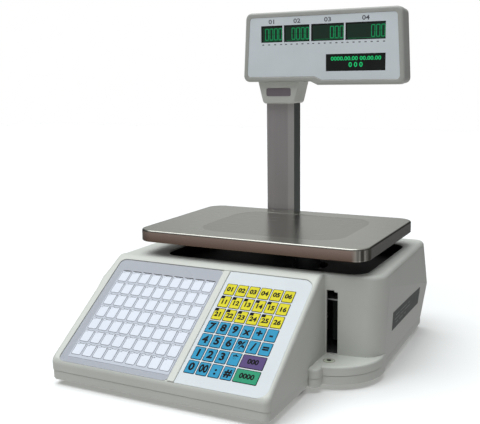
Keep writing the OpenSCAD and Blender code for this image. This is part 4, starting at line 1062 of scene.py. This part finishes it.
def bar_shape(x0, z0, x1, z1):
    """Outline of one segment with pointed ends."""
    half = bar / 2
    if abs(x1 - x0) > abs(z1 - z0):
        return [(x0, z0), (x0 + half, z0 - half), (x1 - half, z0 - half), (x1, z0), (x1 - half, z0 + half),
                (x0 + half, z0 + half)]
    return [(x0, z0), (x0 + half, z0 + half), (x0 + half, z1 - half), (x0, z1), (x0 - half, z1 - half),
            (x0 - half, z0 + half)]


def zero_figure(x, z, y0, y1):
    """The six lit segments of a nought, lower left corner at x, z."""
    middle, top, right = z + figure_h / 2, z + figure_h, x + figure_w
    ends = [(x, z, right, z), (x, top, right, top), (x, z, x, middle), (x, middle, x, top),
            (right, z, right, middle), (right, middle, right, top)]
    return [prism("segment", bar_shape(*end), y0, y1, "Y") for end in ends]


def display(name, glass_y, outward, windows):
    """Figures just in front of one side's windows; outward is the way that the side faces."""
    y0, y1 = sorted((glass_y, glass_y + outward * 0.0002))
    bars = []
    for (x0, x1), count in zip(windows, counts):
        for place_index in range(count):
            along = 0.0018 + place_index * figure_step
            x = x1 - along - figure_w if outward < 0 else x0 + along
            bars += zero_figure(x, window_foot + 0.0040, y0, y1)
        bars.append(prism("base_line", [(x0 + 0.004, window_foot + 0.0022), (x1 - 0.003, window_foot + 0.0022),
                                        (x1 - 0.003, window_foot + 0.0025), (x0 + 0.004, window_foot + 0.0025)],
                          y0, y1, "Y"))
    return dress(join(name, bars), lit, "housing", "window")


def small_figures(name, glass_y, outward, middle_x):
    lines = []
    for text, size, rise, stretch in (("0000.00.00 00.00.00", 0.0082, 0.0185, 1.2), ("0 0 0", 0.0100, 0.0090, 1.1)):
        words = lettering(text, (0, 0), size, 0, stretch)
        words.data.transform(Matrix.Translation((middle_x, glass_y + outward * 0.0002, low_window_foot + rise))
                             @ Matrix.Rotation(math.pi if outward > 0 else 0, 4, "Z")
                             @ Matrix.Rotation(math.pi / 2, 4, "X"))
        lines.append(words)
    return dress(join(name, lines), bright, "housing", "window")


bright, place = finish("bright_figures", Emission_Strength=0.9)
glow = place.noise(900, 2).contrast(0.3, 0.7)
glow.between((0.0, 0.36, 0.10), (0.01, 0.5, 0.16)).drive("Emission Color")
glow.between((0.0, 0.2, 0.05), (0.0, 0.3, 0.08)).drive("Base Color")
(0.4 + 0.1 * glow).drive("Roughness")
windows = [(span_start + a, span_start + b) for a, b in spans]
low_window = (span_start + 0.138, span_start + 0.233)
low_window_foot = window_low.z
for side, glass_y, outward in (("front", window_low.y - 0.0001, -1),
                               ("rear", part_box("rear_windows")[1].y + 0.0001, 1)):
    y0, y1 = sorted((glass_y, glass_y + outward * 0.0001))
    screens = [prism("screen", slab_outline(x0 + 0.0020, window_foot + 0.0020, x1 - 0.0012,
                                            window_top - 0.0025, 0.0006, 0, 2), y0, y1, "Y")
               for x0, x1 in windows]
    dress(join(side + "_screens", screens), dim, "housing", "window")
    display(side + "_figures", glass_y + outward * 0.0001, outward, windows)
    small_figures(side + "_small_figures", glass_y, outward, sum(low_window) / 2)

# Small grey numbers over the windows and plain ticks under them, printed on the front panel
panel_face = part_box("front_panel")[0].y
printed = []
for index, (x0, x1) in enumerate(windows):
    label = lettering("0" + str(index + 1), (0, 0), 0.0092, 0, 1.3)
    label.data.transform(Matrix.Translation(((x0 + x1) / 2, panel_face - 0.00005, window_top + 0.0058))
                         @ Matrix.Rotation(math.pi / 2, 4, "X"))
    printed.append(label)
    ticks = 4 + index
    for tick in range(ticks):
        x = x0 + 0.0015 + (x1 - x0 - 0.006) * tick / (ticks - 1)
        printed.append(prism("tick", [(x, window_foot - 0.0042), (x + 0.0032, window_foot - 0.0042),
                                      (x + 0.0032, window_foot - 0.0028), (x, window_foot - 0.0028)],
                             panel_face - 0.0001, panel_face, "Y"))
print_grey = moulded("print_grey", tint(96, 100, 108), 0.4, 0.00002)
dress(join("panel_marks", printed), print_grey, "housing", "panel_blue")

# ---- Working parts: what shows with the platter lifted or the printer door open ----
# Plated steel, cast and machined aluminium, nylon gears and label paper keep the shapes
# that the frame gives them; only their finishes are made here.
def metal(name, colour, gloss, stretch=(1, 1, 1), grain=0.00004):
    material, place = finish(name, Metallic=1.0)
    cloud = shades(place, colour, 0.08, 40)
    rub = place.noise(900, 3, stretch)
    (gloss + 0.12 * rub + 0.06 * cloud).drive("Roughness")
    rub.relief(0.2, grain)
    return material


working = {
    "steel": metal("plated_steel", (0.55, 0.55, 0.54), 0.28),
    "zinc": metal("galvanised", (0.46, 0.47, 0.48), 0.36),
    "cast_alu": metal("cast_aluminium", (0.30, 0.31, 0.32), 0.5, grain=0.00015),
    "cell_alu": metal("machined_aluminium", (0.68, 0.68, 0.69), 0.25, (0.05, 1, 1)),
    "spring_steel": metal("spring_wire", (0.6, 0.6, 0.6), 0.2),
    "brass": metal("brass", (0.62, 0.44, 0.16), 0.25),
    "socket_metal": metal("socket_shell", (0.5, 0.5, 0.5), 0.3),
    "rubber": rubber,
    "black_plastic": moulded("black_plastic", (0.018, 0.018, 0.019), 0.4),
    "pcb": moulded("circuit_board", (0.012, 0.075, 0.03), 0.35, 0.0001),
    "gear_nylon": moulded("nylon", (0.72, 0.69, 0.58), 0.4),
    "paper": moulded("label_paper", (0.82, 0.82, 0.78), 0.6, 0.00008),
    "head_green": moulded("head_lever", (0.012, 0.022, 0.016), 0.4),
    "grey_plastic": grey_abs,
}
hidden = {node for piece in bpy.data.objects for node in piece.get("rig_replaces", [])}
for part in frame["record"]["subparts"]:
    node, finish_slot = part["node"], part["material_slot"]
    if node not in hidden and finish_slot in working:
        frame["nodes"][node].material_slots[0].material = working[finish_slot]

size_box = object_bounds()
[[list(corner) for corner in box] for box in (cad_box, size_box)]
